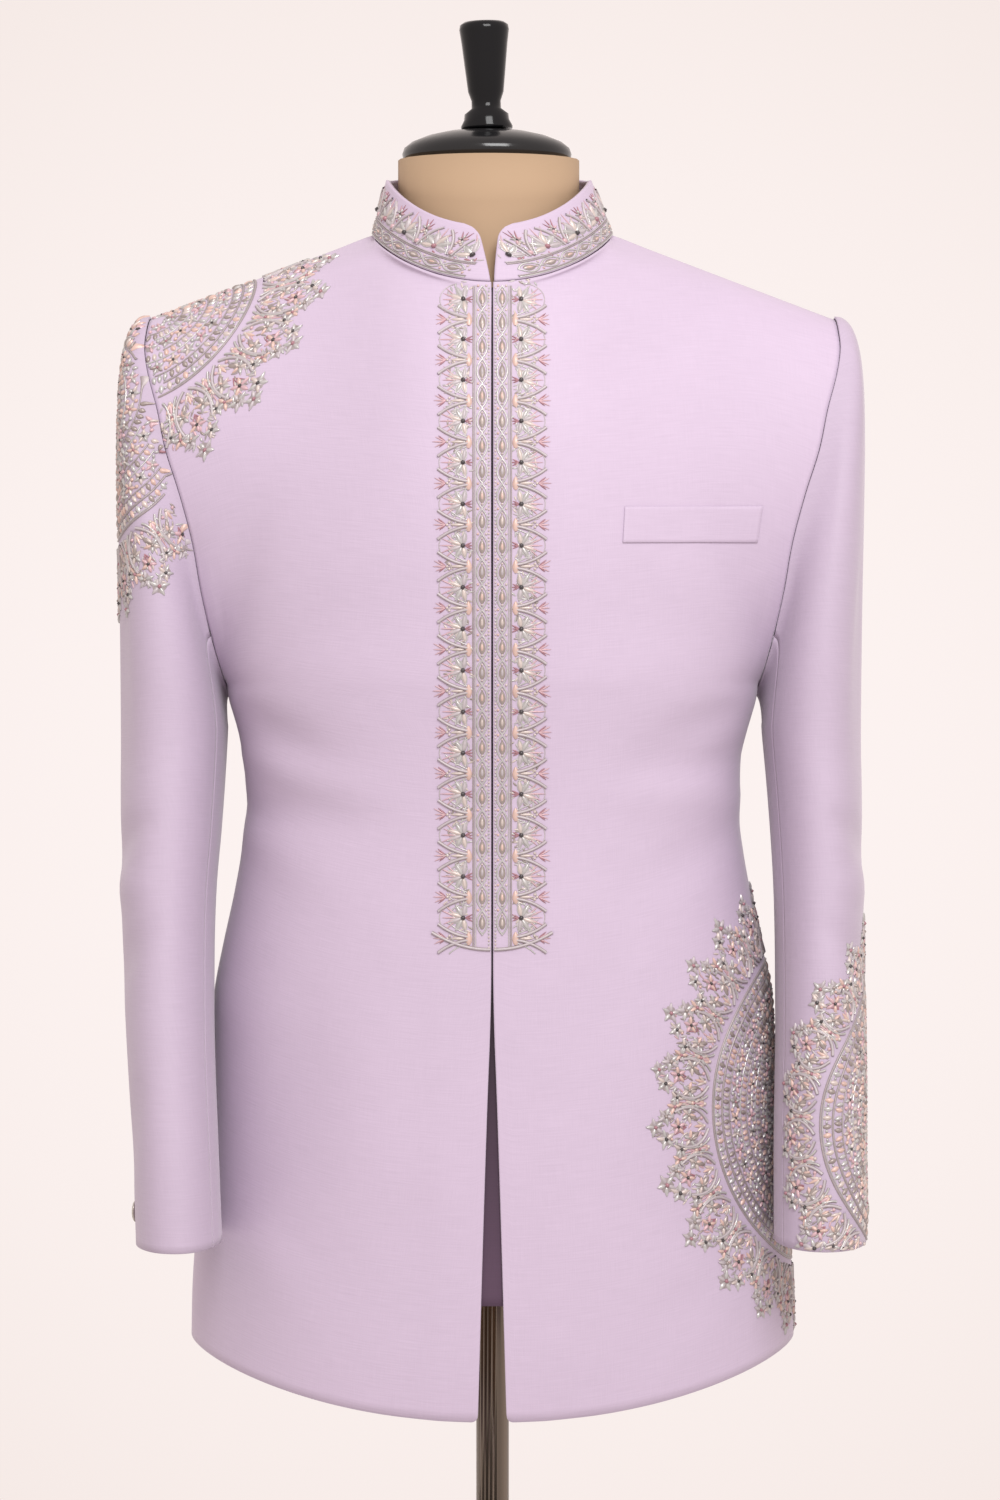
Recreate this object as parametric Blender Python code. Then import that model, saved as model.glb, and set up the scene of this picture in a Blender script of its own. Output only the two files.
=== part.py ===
"""A bandhgala jacket, size 40, worn by a limbless dress form on a short counter stand.

Metres, +Z up.  The jacket faces -Y, so the wearer's left is +X.  The origin is the
middle of the stand's underside.  Cloth pieces are thin walls over one shared body
surface, and the form is the same surface drawn in.
"""
import math

import bpy
import numpy as np
from mathutils import Matrix, Vector
from mathutils.bvhtree import BVHTree

# Cloth and seams
CLOTH = 0.0020            # wall of the lined coating cloth
COLLAR_CLOTH = 0.0026     # interfaced stand collar
UNDERLAP_CLOTH = 0.0012
SEAM = 0.0003             # gap between sewn pieces
SLEEVE_SEAM = 0.0006      # the same where the seam turns into the armhole
LAY = 0.0005              # gap under a piece that lies on a panel

# Heights of the garment's main levels
SIDE_HEM = 0.252
FRONT_DIP = 0.034         # the hem hangs this much lower at centre front
BACK_RISE = 0.006
UNDERARM = 0.679
SHOULDER_TIP = 0.9290
SHOULDER_NECK = 0.9805
FRONT_NECK = 0.9485
SLIT_TOP = 0.481
UNDERLAP_END = 0.292

# Plan sizes
SIDE_SEAM_ANGLE = math.radians(96.0)
SECTION_POWER = 2.1
CLOSURE_HALF_GAP = 0.0007
HEM_HALF_GAP = 0.0092
NECK_AXIS_X = -0.0025     # the form's neck stands a little to the wearer's right
NECK_HALF = 0.0800        # collar seam, half width
NECK_FRONT = 0.0850
NECK_BACK = 0.0600
NECK_BACK_RISE = 0.012
NECK_SHOULDER_LIFT = 0.004
PLACKET_HALF = 0.0400
BORDER_HALF = 0.0120

# Columns of a half body next to its middle line, as distances from that line
FRONT_REACHES = (CLOSURE_HALF_GAP, BORDER_HALF, 0.0260, PLACKET_HALF)
BACK_REACHES = (0.0, 0.0140, 0.0280, 0.0420)

# Body sections: height, half width, depth in front, depth behind
BODY_SECTIONS = (
    (0.200, 0.2025, 0.140, 0.136),
    (0.250, 0.2020, 0.139, 0.134),
    (0.306, 0.2000, 0.136, 0.130),
    (0.350, 0.1950, 0.134, 0.127),
    (0.400, 0.1910, 0.132, 0.122),
    (0.440, 0.1885, 0.130, 0.118),
    (0.486, 0.1855, 0.128, 0.113),
    (0.542, 0.1735, 0.126, 0.106),
    (0.593, 0.1655, 0.124, 0.099),
    (0.620, 0.1648, 0.125, 0.098),
    (0.654, 0.1690, 0.128, 0.102),
    (0.679, 0.1755, 0.131, 0.107),
    (0.720, 0.1860, 0.135, 0.114),
)

# Armhole: height fraction from underarm to shoulder tip, reach from the centre
ARMHOLE_REACH = (
    (0.00, 0.1755),
    (0.08, 0.1800),
    (0.21, 0.1880),
    (0.42, 0.1970),
    (0.52, 0.2035),
    (0.64, 0.2130),
    (0.75, 0.2190),
    (0.91, 0.2285),
    (1.00, 0.2275),
)
ARMHOLE_FRONT = 0.066
ARMHOLE_BACK = 0.064
ARMHOLE_MIDDLE = 0.004
ARMHOLE_TURN = math.radians(34.0)   # how far round the body the armhole cuts in
ARMHOLE_EASE = 2.2                  # how closely inner columns follow its edge

# Sleeves: height, outer edge, inner edge, middle depth, half depth
RIGHT_SLEEVE = (
    (0.654, 0.2470, 0.1768, -0.004, 0.078),
    (0.606, 0.2462, 0.1790, -0.016, 0.074),
    (0.543, 0.2440, 0.1832, -0.034, 0.069),
    (0.500, 0.2420, 0.1832, -0.048, 0.066),
    (0.460, 0.2390, 0.1822, -0.064, 0.062),
    (0.393, 0.2335, 0.1785, -0.086, 0.057),
    (0.329, 0.2300, 0.1750, -0.102, 0.053),
)
LEFT_SLEEVE = (
    (0.654, 0.2450, 0.1800, -0.003, 0.078),
    (0.606, 0.2450, 0.1838, -0.013, 0.074),
    (0.543, 0.2444, 0.1868, -0.028, 0.069),
    (0.500, 0.2444, 0.1868, -0.040, 0.066),
    (0.460, 0.2440, 0.1862, -0.053, 0.062),
    (0.393, 0.2435, 0.1840, -0.073, 0.057),
    (0.328, 0.2425, 0.1832, -0.089, 0.053),
)
SLEEVE_POWER = 2.15
HEAD_LIFT = 0.0022        # the roped sleeve head stands above the shoulder seam
# The sleeve cap leaves the armhole outwards and comes down into the upper arm
CAP_OUT_X = 0.977
CAP_OUT_FALL = (-0.21, 0.20)        # at the underarm, and what the shoulder tip adds
CAP_REACH = (0.004, 0.024)
CAP_DROP = (0.45, 0.25)
CAP_SPACING = 1.25

# Mesh spacing
LOWER_ROWS = 13
UPPER_ROWS = 12
SHOULDER_COLUMNS = 6
NECK_COLUMNS = 3
CAP_ROWS = 8
SLEEVE_ROWS = 10
FRONT_SEAM_STEP = 2       # sleeve seams, counted in steps round from the underarm
BACK_SEAM_STEP = 8

# Dress form and stand
POLE_RADIUS = 0.0110
BASE_RADIUS = 0.170
BASE_HEIGHT = 0.016
SOCKET_RADIUS = 0.022
SOCKET_TOP = 0.050
FORM_BOTTOM = 0.318
FORM_DRAW_IN = 0.0085     # form below the cloth's outer face, but at the shoulders
FORM_NECK_HALF = 0.0600
FORM_NECK_DEPTH = 0.0520
FORM_NECK_FORWARD = 0.0060
FORM_NECK_TOP = 1.0335
CAP_RADIUS = 0.0562
KNOB_LEAN = math.radians(1.6)
CAP_SQUASH = 0.95
CAP_SHIFT = -0.0012
LOWEST_FORM_ROW = 4
FORM_TURN_ROW = LOWER_ROWS + 3      # the form comes closer to the cloth above this row
NECK_LEVELS = ((0.30, 0.0012), (0.65, 0.0), (1.0, 0.0))   # height fraction, swell

# Turned profiles: radius, height
BASE_PROFILE = (
    (0.0, 0.0),
    (BASE_RADIUS - 0.001, 0.0),
    (BASE_RADIUS, 0.001),
    (BASE_RADIUS, 0.010),
    (BASE_RADIUS - 0.004, 0.014),
    (0.060, BASE_HEIGHT),
    (SOCKET_RADIUS + 0.006, 0.019),
    (SOCKET_RADIUS, 0.026),
    (SOCKET_RADIUS, SOCKET_TOP - 0.002),
    (SOCKET_RADIUS - 0.002, SOCKET_TOP),
    (0.0, SOCKET_TOP),
)
CAP_PROFILE = (
    (0.0, 0.0),
    (0.0535, 0.0),
    (0.0557, 0.0016),
    (CAP_RADIUS, 0.0045),
    (0.0550, 0.0080),
    (0.0500, 0.0120),
    (0.0400, 0.0160),
    (0.0280, 0.0188),
    (0.0150, 0.0204),
    (0.0, 0.0208),
)
KNOB_PROFILE = (
    (0.0, 0.0),
    (0.0170, 0.0),
    (0.0172, 0.0018),
    (0.0150, 0.0060),
    (0.0146, 0.0098),
    (0.0098, 0.0135),
    (0.0097, 0.0185),
    (0.0118, 0.0245),
    (0.0135, 0.0400),
    (0.0152, 0.0560),
    (0.0162, 0.0635),
    (0.0165, 0.0655),
    (0.0160, 0.0685),
    (0.0135, 0.0703),
    (0.0, 0.0708),
)
BUTTON_PROFILE = (
    (0.0, 0.0),
    (0.0022, 0.0),
    (0.0022, 0.0018),
    (0.0074, 0.0022),
    (0.0076, 0.0032),
    (0.0066, 0.0042),
    (0.0040, 0.0050),
    (0.0, 0.0053),
)
BUTTON_HEIGHT = 0.3445
BUTTON_ANGLE = math.radians(-158.0)

# Collar
COLLAR_HEIGHT = 0.0370
COLLAR_TOP_HALF = 0.0680
COLLAR_TOP_FRONT = 0.0730
COLLAR_TOP_BACK = 0.0560
COLLAR_ROWS = 5
COLLAR_CORNER = 0.0085    # radius of the rounded front corners
COLLAR_LIFT = 0.0008      # of its lower edge above the seam
COLLAR_HALF_GAP = 0.0012  # between its front edges at the seam
COLLAR_PART = 0.0060      # and how much further they part towards the top

# Breast welt: its corners (x, height), anticlockwise from the lower inner one
WELT_CORNERS = ((0.0832, 0.7800), (0.1722, 0.7805), (0.1756, 0.8040), (0.0846, 0.8030))
WELT_CLOTH = 0.0014
WELT_STEPS = 16
WELT_ROWS = 3

# Beadwork, raised in the walls' outer points
BEAD_RISE = 0.0010
PLACKET_LOW = 0.520
MEDALLION_EDGE = 0.010    # width over which a medallion's relief falls off
# Half medallions: node, centre x, y and height, radius
MEDALLIONS = (
    ("front_left", 0.187, -0.020, 0.403, 0.132),
    ("front_right", -0.222, -0.012, 0.925, 0.118),
    ("sleeve_top_right", -0.247, -0.020, 0.870, 0.130),
    ("sleeve_top_left", 0.2435, -0.080, 0.412, 0.118),
)

LILAC = (0.690, 0.520, 0.700)
LILAC_DEEP = (0.620, 0.450, 0.630)
PLUM = (0.120, 0.060, 0.105)
JERSEY = (0.610, 0.440, 0.290)
LACQUER = (0.010, 0.010, 0.012)
BRONZE = (0.150, 0.105, 0.080)
STEEL = (0.100, 0.095, 0.090)
SILVER = (0.560, 0.520, 0.450)


def clear_scene():
    for item in list(bpy.data.objects):
        bpy.data.objects.remove(item, do_unlink=True)


def smooth_table(rows, key):
    """Read every column of a short table at a key, with a smooth curve through its rows."""
    table = np.array(sorted(rows), dtype=float)
    keys = table[:, 0]
    values = table[:, 1:]
    slopes = np.gradient(values, keys, axis=0)
    key = min(max(key, keys[0]), keys[-1])
    place = int(np.clip(np.searchsorted(keys, key, side="right") - 1, 0, len(keys) - 2))
    span = keys[place + 1] - keys[place]
    t = (key - keys[place]) / span
    start = (1 + 2 * t) * (1 - t) ** 2 * values[place] + t * (1 - t) ** 2 * span * slopes[place]
    end = t * t * (3 - 2 * t) * values[place + 1] + t * t * (t - 1) * span * slopes[place + 1]
    return start + end


def signed_power(value, power):
    return math.copysign(abs(value) ** power, value)


def body_point(angle, height):
    """A point of the body surface; angle 0 is centre front, 180 degrees centre back."""
    half_width, front, back = smooth_table(BODY_SECTIONS, height)
    power = 2.0 / SECTION_POWER
    depth = front if math.cos(angle) > 0 else back
    x = half_width * signed_power(math.sin(angle), power)
    y = -depth * signed_power(math.cos(angle), power)
    return np.array((x, y, height))


def angle_at_reach(reach, height):
    half_width = smooth_table(BODY_SECTIONS, height)[0]
    return math.asin(min(1.0, reach / half_width) ** (SECTION_POWER / 2.0))


def hem_height(angle):
    drop = math.cos(angle) ** 2
    if math.cos(angle) > 0:
        return SIDE_HEM - FRONT_DIP * drop
    return SIDE_HEM + BACK_RISE * drop


def armhole_fraction(step):
    """Height fraction of one step up the armhole, denser at the underarm and the tip."""
    return (1 - math.cos(math.pi * (step / UPPER_ROWS) ** 0.75)) / 2


def armhole_swell(fraction):
    """How far the armhole's edge stands from its middle line, 1 at half height."""
    return math.sqrt(max(0.0, 1 - (2 * fraction - 1) ** 2)) ** 0.9


def armhole_point(fraction, facing):
    """Armhole seam on the +X side; facing -1 is the front run, +1 the back run."""
    reach = smooth_table(ARMHOLE_REACH, fraction)[0]
    swell = armhole_swell(fraction)
    depth = ARMHOLE_FRONT if facing < 0 else ARMHOLE_BACK
    side_y = body_point(SIDE_SEAM_ANGLE, UNDERARM)[1]
    middle = side_y + (ARMHOLE_MIDDLE - side_y) * fraction
    height = UNDERARM + (SHOULDER_TIP - UNDERARM) * fraction
    return np.array((reach, middle + facing * depth * swell, height))


def neck_point(angle):
    """Collar seam; angle 0 is centre front, 90 degrees the shoulder, 180 centre back."""
    x = NECK_HALF * math.sin(angle)
    if math.cos(angle) > 0:
        drop = math.cos(angle) ** 1.5
        height = SHOULDER_NECK + NECK_SHOULDER_LIFT * (1 - drop) - (SHOULDER_NECK - FRONT_NECK) * drop
        return np.array((x, -NECK_FRONT * math.cos(angle), height))
    rise = math.cos(angle) ** 2
    height = SHOULDER_NECK + NECK_SHOULDER_LIFT + NECK_BACK_RISE * rise
    return np.array((x, -NECK_BACK * math.cos(angle), height))


def hermite(start, start_way, end, end_way, t):
    length = np.linalg.norm(end - start)
    return ((1 + 2 * t) * (1 - t) ** 2 * start + t * (1 - t) ** 2 * length * start_way
            + t * t * (3 - 2 * t) * end + t * t * (t - 1) * length * end_way)


def unit(vector):
    return vector / np.linalg.norm(vector)


def closure_reach(height):
    """Half gap between the two fronts: edge to edge above, an opening slit below."""
    open_part = max(0.0, (SLIT_TOP - height) / (SLIT_TOP - SIDE_HEM + FRONT_DIP))
    return CLOSURE_HALF_GAP + (HEM_HALF_GAP - CLOSURE_HALF_GAP) * open_part ** 0.85


def neck_angles(facing):
    """Angles of the columns along the collar seam, from the middle out to the shoulder."""
    reaches = FRONT_REACHES if facing < 0 else BACK_REACHES
    angles = [math.asin(reach / NECK_HALF) for reach in reaches]
    for step in range(1, NECK_COLUMNS + 2):
        part = step / (NECK_COLUMNS + 1)
        angles.append(math.asin(reaches[-1] / NECK_HALF) * (1 - part) + math.pi / 2 * part)
    return angles if facing < 0 else [math.pi - angle for angle in angles]


def half_surface(facing):
    """Grid of one half of the body, rows from the hem up and columns from the middle out."""
    inner = FRONT_REACHES if facing < 0 else BACK_REACHES
    neck = neck_angles(facing)
    corner = len(neck) - 1
    columns = len(neck) + SHOULDER_COLUMNS
    last = columns - 1

    def column_angle(column, height, side_angle=SIDE_SEAM_ANGLE):
        if column < len(inner):
            reach = inner[column]
            if facing < 0 and column == 0:
                reach = closure_reach(height)
            angle = angle_at_reach(reach, height)
            return angle if facing < 0 else math.pi - angle
        start = angle_at_reach(inner[-1], height)
        start = start if facing < 0 else math.pi - start
        part = (column - len(inner) + 1) / (columns - len(inner))
        return start + (side_angle - start) * part

    def top_point(column):
        if column < corner:
            return neck_point(neck[column])
        part = (column - corner) / SHOULDER_COLUMNS
        start = neck_point(math.pi / 2)
        end = armhole_point(1.0, facing)
        return start + (end - start) * part

    def top_way(column):
        if column < corner:
            part = column / corner
            front_way = np.array((0.0, -facing * (0.50 + 0.40 * part), 0.87 - 0.45 * part))
            return unit(front_way)
        part = (column - corner) / SHOULDER_COLUMNS
        return unit(np.array((0.0, -facing * 0.95, 0.40 - 0.22 * part)))

    grid = []
    for row in range(LOWER_ROWS):
        part = row / LOWER_ROWS
        line = []
        for column in range(columns):
            guess = column_angle(column, SIDE_HEM)
            low = hem_height(guess)
            height = low + (UNDERARM - low) * part
            line.append(body_point(column_angle(column, height), height))
        grid.append(line)

    tip = armhole_point(1.0, facing)
    for row in range(UPPER_ROWS + 1):
        fraction = armhole_fraction(row)
        line = []
        side_angle = SIDE_SEAM_ANGLE + facing * ARMHOLE_TURN * armhole_swell(min(fraction, 0.5))
        side_start = body_point(side_angle, UNDERARM)
        side_curve = hermite(side_start, rise_way(side_angle), tip, top_way(last), fraction)
        away = armhole_point(fraction, facing) - side_curve
        for column in range(columns):
            angle = column_angle(column, UNDERARM, side_angle)
            start = body_point(angle, UNDERARM)
            point = hermite(start, rise_way(angle), top_point(column), top_way(column), fraction)
            share = max(0.0, (column - len(inner) + 1) / (columns - len(inner)))
            point = point + away * share ** ARMHOLE_EASE
            line.append(point)
        grid.append(line)
    return relax(np.array(grid), LOWER_ROWS + 2), corner


def relax(grid, first_row, rounds=6):
    """Even out a half grid from a row to just below the collar, without moving its edges."""
    grid = grid.copy()
    for _ in range(rounds):
        middle = grid[first_row:-2, 1:-1]
        sides = (grid[first_row:-2, :-2] + grid[first_row:-2, 2:]) / 2
        grid[first_row:-2, 1:-1] = (middle + sides) / 2
    return grid


def rise_way(angle):
    """Direction in which the body surface rises through the underarm level."""
    step = 0.012
    return unit(body_point(angle, UNDERARM + step) - body_point(angle, UNDERARM - step))


def mirrored(grid):
    """The same grid on the -X side, with its columns turned round so that it faces out."""
    flipped = grid[:, ::-1].copy()
    flipped[:, :, 0] *= -1
    return flipped


def normals(grid):
    """Outward normals of a grid whose columns run to the right seen from outside."""
    along = np.empty_like(grid)
    up = np.empty_like(grid)
    along[:, 1:-1] = grid[:, 2:] - grid[:, :-2]
    along[:, 0] = grid[:, 1] - grid[:, 0]
    along[:, -1] = grid[:, -1] - grid[:, -2]
    up[1:-1] = grid[2:] - grid[:-2]
    up[0] = grid[1] - grid[0]
    up[-1] = grid[-1] - grid[-2]
    cross = np.cross(along, up)
    return cross / np.linalg.norm(cross, axis=2, keepdims=True)


def pull_edge(grid, distance, edges):
    """Draw the named edges of a grid back along its surface, for the gap at a seam."""
    grid = grid.copy()
    lines = {
        "first": (np.s_[:, 0], np.s_[:, 1]),
        "last": (np.s_[:, -1], np.s_[:, -2]),
        "bottom": (np.s_[0], np.s_[1]),
        "top": (np.s_[-1], np.s_[-2]),
    }
    for edge in edges:
        here, inside = lines[edge]
        way = grid[inside] - grid[here]
        grid[here] += way / np.linalg.norm(way, axis=-1, keepdims=True) * distance
    return grid


def material(name, colour, roughness, metallic=0.0):
    made = bpy.data.materials.new(name)
    made.use_nodes = True
    shader = made.node_tree.nodes["Principled BSDF"]
    shader.inputs["Base Color"].default_value = (*colour, 1.0)
    shader.inputs["Roughness"].default_value = roughness
    shader.inputs["Metallic"].default_value = metallic
    return made


def add_object(name, points, faces, look):
    mesh = bpy.data.meshes.new(name)
    mesh.from_pydata([tuple(float(v) for v in p) for p in points], [], faces)
    mesh.update()
    made = bpy.data.objects.new(name, mesh)
    bpy.context.collection.objects.link(made)
    mesh.materials.append(material(name, *look))
    mesh.shade_smooth()
    mesh.set_sharp_from_angle(angle=math.radians(40))
    return made


def split_quad(quad, turned=False):
    a, b, c, d = quad[::-1] if turned else quad
    return [(a, b, c), (a, c, d)]


def wall(name, outer, thickness, look, rise=None, inner_ways=None):
    """A closed cloth wall between an outer grid and the same grid drawn inwards."""
    ways = normals(outer) if inner_ways is None else inner_ways
    inner = outer - ways * thickness
    if rise is not None:
        outer = outer + normals(outer) * rise[:, :, None]
    rows, columns = outer.shape[:2]
    count = rows * columns
    points = np.concatenate((outer.reshape(-1, 3), inner.reshape(-1, 3)))

    def at(row, column, side):
        return side * count + row * columns + column

    faces = []
    for row in range(rows - 1):
        for column in range(columns - 1):
            a, b = at(row, column, 0), at(row, column + 1, 0)
            c, d = at(row + 1, column + 1, 0), at(row + 1, column, 0)
            faces += [(a, b, c), (a, c, d)]
            faces += [(a + count, c + count, b + count), (a + count, d + count, c + count)]
    for column in range(columns - 1):
        for row, turned in ((0, False), (rows - 1, True)):
            a, b = at(row, column, 0), at(row, column + 1, 0)
            faces += split_quad((a, a + count, b + count, b), turned)
    for row in range(rows - 1):
        for column, turned in ((0, True), (columns - 1, False)):
            a, b = at(row, column, 0), at(row + 1, column, 0)
            faces += split_quad((a, a + count, b + count, b), turned)
    return add_object(name, points, faces, look)


def bead_rise(name, grid):
    """How far each outer point stands proud where beadwork lies; 0 along sewn edges."""
    rise = np.zeros(grid.shape[:2])
    if name in ("front_left", "front_right"):
        rise[(np.abs(grid[:, :, 0]) < PLACKET_HALF - LAY) & (grid[:, :, 2] > PLACKET_LOW)] = BEAD_RISE
    if name == "collar":
        rise[1:-2] = BEAD_RISE
    for node, x, y, height, radius in MEDALLIONS:
        if node == name:
            away = np.linalg.norm(grid - np.array((x, y, height)), axis=2)
            rise = np.maximum(rise, BEAD_RISE * np.clip((radius - away) / MEDALLION_EDGE, 0, 1))
    rise[:, (0, -1)] = 0.0
    rise[(0, -1), :] = 0.0
    return rise


def lathe(name, profile, steps, look, centre=(0.0, 0.0), squash_y=1.0, lean=0.0):
    """A turned solid from a profile of radius and height, bottom to top."""
    points = []
    faces = []
    rings = []
    for radius, height in profile:
        if radius == 0.0:
            rings.append([len(points)])
            points.append((0.0, 0.0, height))
            continue
        ring = []
        for step in range(steps):
            angle = 2 * math.pi * step / steps
            ring.append(len(points))
            points.append((radius * math.cos(angle), radius * math.sin(angle) * squash_y, height))
        rings.append(ring)
    for low, high in zip(rings, rings[1:]):
        for step in range(steps):
            after = (step + 1) % steps
            if len(low) == 1:
                faces.append((low[0], high[after], high[step]))
            elif len(high) == 1:
                faces.append((low[step], low[after], high[0]))
            else:
                faces.append((low[step], low[after], high[after], high[step]))
    made = add_object(name, points, faces, look)
    foot = profile[0][1]
    turn = Matrix.Translation((centre[0], centre[1], foot)) @ Matrix.Rotation(-lean, 4, "Y")
    made.data.transform(turn @ Matrix.Translation((0.0, 0.0, -foot)))
    return made


def surface_of(made):
    mesh = made.data
    return BVHTree.FromPolygons([v.co for v in mesh.vertices], [p.vertices for p in mesh.polygons])


def on_surface(tree, point, outward, lift):
    """The place on a finished panel that a point outside it looks down on, lifted clear."""
    start = Vector(point) + Vector(outward) * 0.05
    hit, normal, _, _ = tree.ray_cast(start, -Vector(outward), 0.15)
    if hit is None:
        hit, normal, _, _ = tree.find_nearest(Vector(point))
    if normal.dot(Vector(outward)) < 0:
        normal = -normal
    return np.array(hit + normal * lift)


def sewn_ways(front, back, front_corner, back_corner):
    """Inward directions of both halves, shared along the side and shoulder seams."""
    front_ways = normals(front)
    back_ways = normals(back[:, ::-1])[:, ::-1]
    back_ways[:, 0, 0] = 0.0
    side = front_ways[:, -1] + back_ways[:, -1]
    side /= np.linalg.norm(side, axis=1, keepdims=True)
    front_ways[:LOWER_ROWS + 1, -1] = side[:LOWER_ROWS + 1]
    back_ways[:LOWER_ROWS + 1, -1] = side[:LOWER_ROWS + 1]
    for column in range(SHOULDER_COLUMNS + 1):
        shared = unit(front_ways[-1, front_corner + column] + back_ways[-1, back_corner + column])
        front_ways[-1, front_corner + column] = shared
        back_ways[-1, back_corner + column] = shared
    return front_ways, back_ways


def build_fronts(front, ways):
    gap = pull_edge(front, SEAM / 2, ("last", "top"))
    made = {}
    for name, grid, inner in (("front_left", gap, ways), ("front_right", mirrored(gap), mirrored(ways))):
        made[name] = wall(name, grid, CLOTH, (LILAC, 0.75), bead_rise(name, grid), inner)
    return made


def build_back(back, ways):
    half = pull_edge(back, SEAM / 2, ("last", "top"))
    half[:, 0, 0] = 0.0
    whole, inner = (np.concatenate((grid[:, ::-1], mirrored(grid)[:, ::-1][:, 1:]), axis=1)
                    for grid in (half, ways))
    return wall("back", whole, CLOTH, (LILAC, 0.75), inner_ways=inner)


def build_underlap(front, ways):
    """Plum strip behind both front edges, from the collar to a straight lower end."""
    half = front[:, :3].copy()
    half[:, 0, 0] = 0.0
    inward = ways[:, :3].copy()
    inward[:, 0, 0] = 0.0
    inward /= np.linalg.norm(inward, axis=2, keepdims=True)
    half = half - inward * (CLOTH + LAY)
    whole, turned = (np.concatenate((mirrored(grid), grid[:, 1:]), axis=1) for grid in (half, inward))
    first = int(np.argmax(whole[:, 2, 2] > UNDERLAP_END))
    whole, turned = whole[first - 1:-1], turned[first - 1:-1]
    part = (UNDERLAP_END - whole[0, :, 2]) / (whole[1, :, 2] - whole[0, :, 2])
    whole[0] += (whole[1] - whole[0]) * part[:, None]
    return wall("underlap", whole, UNDERLAP_CLOTH, (PLUM, 0.8), inner_ways=turned)


def build_form(front, back, front_ways, back_ways, front_corner, back_corner):
    """Closed torso and neck: the body surface drawn in, bridged over armholes and shoulders."""
    def shrink(grid, ways, corner):
        rows, columns = grid.shape[:2]
        rise = np.clip((np.arange(rows) - FORM_TURN_ROW) / (rows - 1 - FORM_TURN_ROW), 0, 1)
        over = np.clip((np.arange(columns) - corner + 1) / 2, 0, 1)
        depth = FORM_DRAW_IN - (FORM_DRAW_IN - CLOTH - LAY) * rise[:, None] * over[None, :]
        return grid - ways * depth[:, :, None]

    front_in = shrink(front, front_ways, front_corner)
    back_in = shrink(back, back_ways, back_corner)
    front_in[:, 0, 0] = 0.0
    back_in[:, 0, 0] = 0.0
    rows = front_in.shape[0]
    rings = []
    for row in range(LOWEST_FORM_ROW, rows):
        right_half = list(front_in[row]) + list(back_in[row][::-1])
        left_half = [p * np.array((-1, 1, 1)) for p in right_half[1:-1]][::-1]
        rings.append(right_half + left_half)
    for point in rings[0]:
        point[2] = FORM_BOTTOM
    rings = [r for i, r in enumerate(rings) if i == 0 or min(p[2] for p in r) > FORM_BOTTOM + 0.012]
    count = len(rings[0])
    points = [p for ring in rings for p in ring]
    faces = []
    for row in range(len(rings) - 1):
        for step in range(count):
            after = (step + 1) % count
            low = row * count
            faces += split_quad((low + step, low + after, low + count + after, low + count + step))
    faces.append(tuple(range(count))[::-1])

    front_columns = front_in.shape[1]
    back_columns = back_in.shape[1]
    top = (len(rings) - 1) * count

    def front_at(column, side):
        return top + (column if side > 0 else (count - column) % count)

    def back_at(column, side):
        place = front_columns + back_columns - 1 - column
        return top + (place if side > 0 else (count - place) % count)

    for side in (1, -1):
        for step in range(SHOULDER_COLUMNS):
            f, b = front_corner + step, back_corner + step
            quad = (front_at(f, side), front_at(f + 1, side), back_at(b + 1, side), back_at(b, side))
            faces += split_quad(quad, side < 0)

    loop = [front_at(c, 1) for c in range(front_corner + 1)]
    loop += [back_at(c, 1) for c in range(back_corner, -1, -1)]
    loop += [back_at(c, -1) for c in range(1, back_corner + 1)]
    loop += [front_at(c, -1) for c in range(front_corner, 0, -1)]
    last_loop = loop
    for part, swell in NECK_LEVELS:
        new_loop = []
        for index in loop:
            foot = points[index]
            angle = math.atan2(foot[0], -foot[1])
            neck = np.array((NECK_AXIS_X + (FORM_NECK_HALF + swell) * math.sin(angle),
                             -FORM_NECK_FORWARD - (FORM_NECK_DEPTH + swell) * math.cos(angle), 0.0))
            height = foot[2] + (FORM_NECK_TOP - foot[2]) * part
            blend = min(1.0, part / NECK_LEVELS[0][0])
            place = foot + (neck - foot) * blend
            place[2] = height
            new_loop.append(len(points))
            points.append(place)
        for step in range(len(loop)):
            after = (step + 1) % len(loop)
            faces += split_quad((last_loop[step], last_loop[after], new_loop[after], new_loop[step]))
        last_loop = new_loop
    faces.append(tuple(last_loop))
    return add_object("form_torso", points, faces, (JERSEY, 0.9))


def collar_point(angle, part):
    """Outer face of the stand collar, from its seam (0) to its rolled top edge (1)."""
    low = neck_point(angle)
    x = COLLAR_TOP_HALF * math.sin(angle)
    depth = COLLAR_TOP_FRONT if math.cos(angle) > 0 else COLLAR_TOP_BACK
    high = np.array((x, -depth * math.cos(angle), low[2] + COLLAR_HEIGHT))
    low = low + np.array((0.0, 0.0, COLLAR_LIFT))
    return low + (high - low) * part


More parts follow.
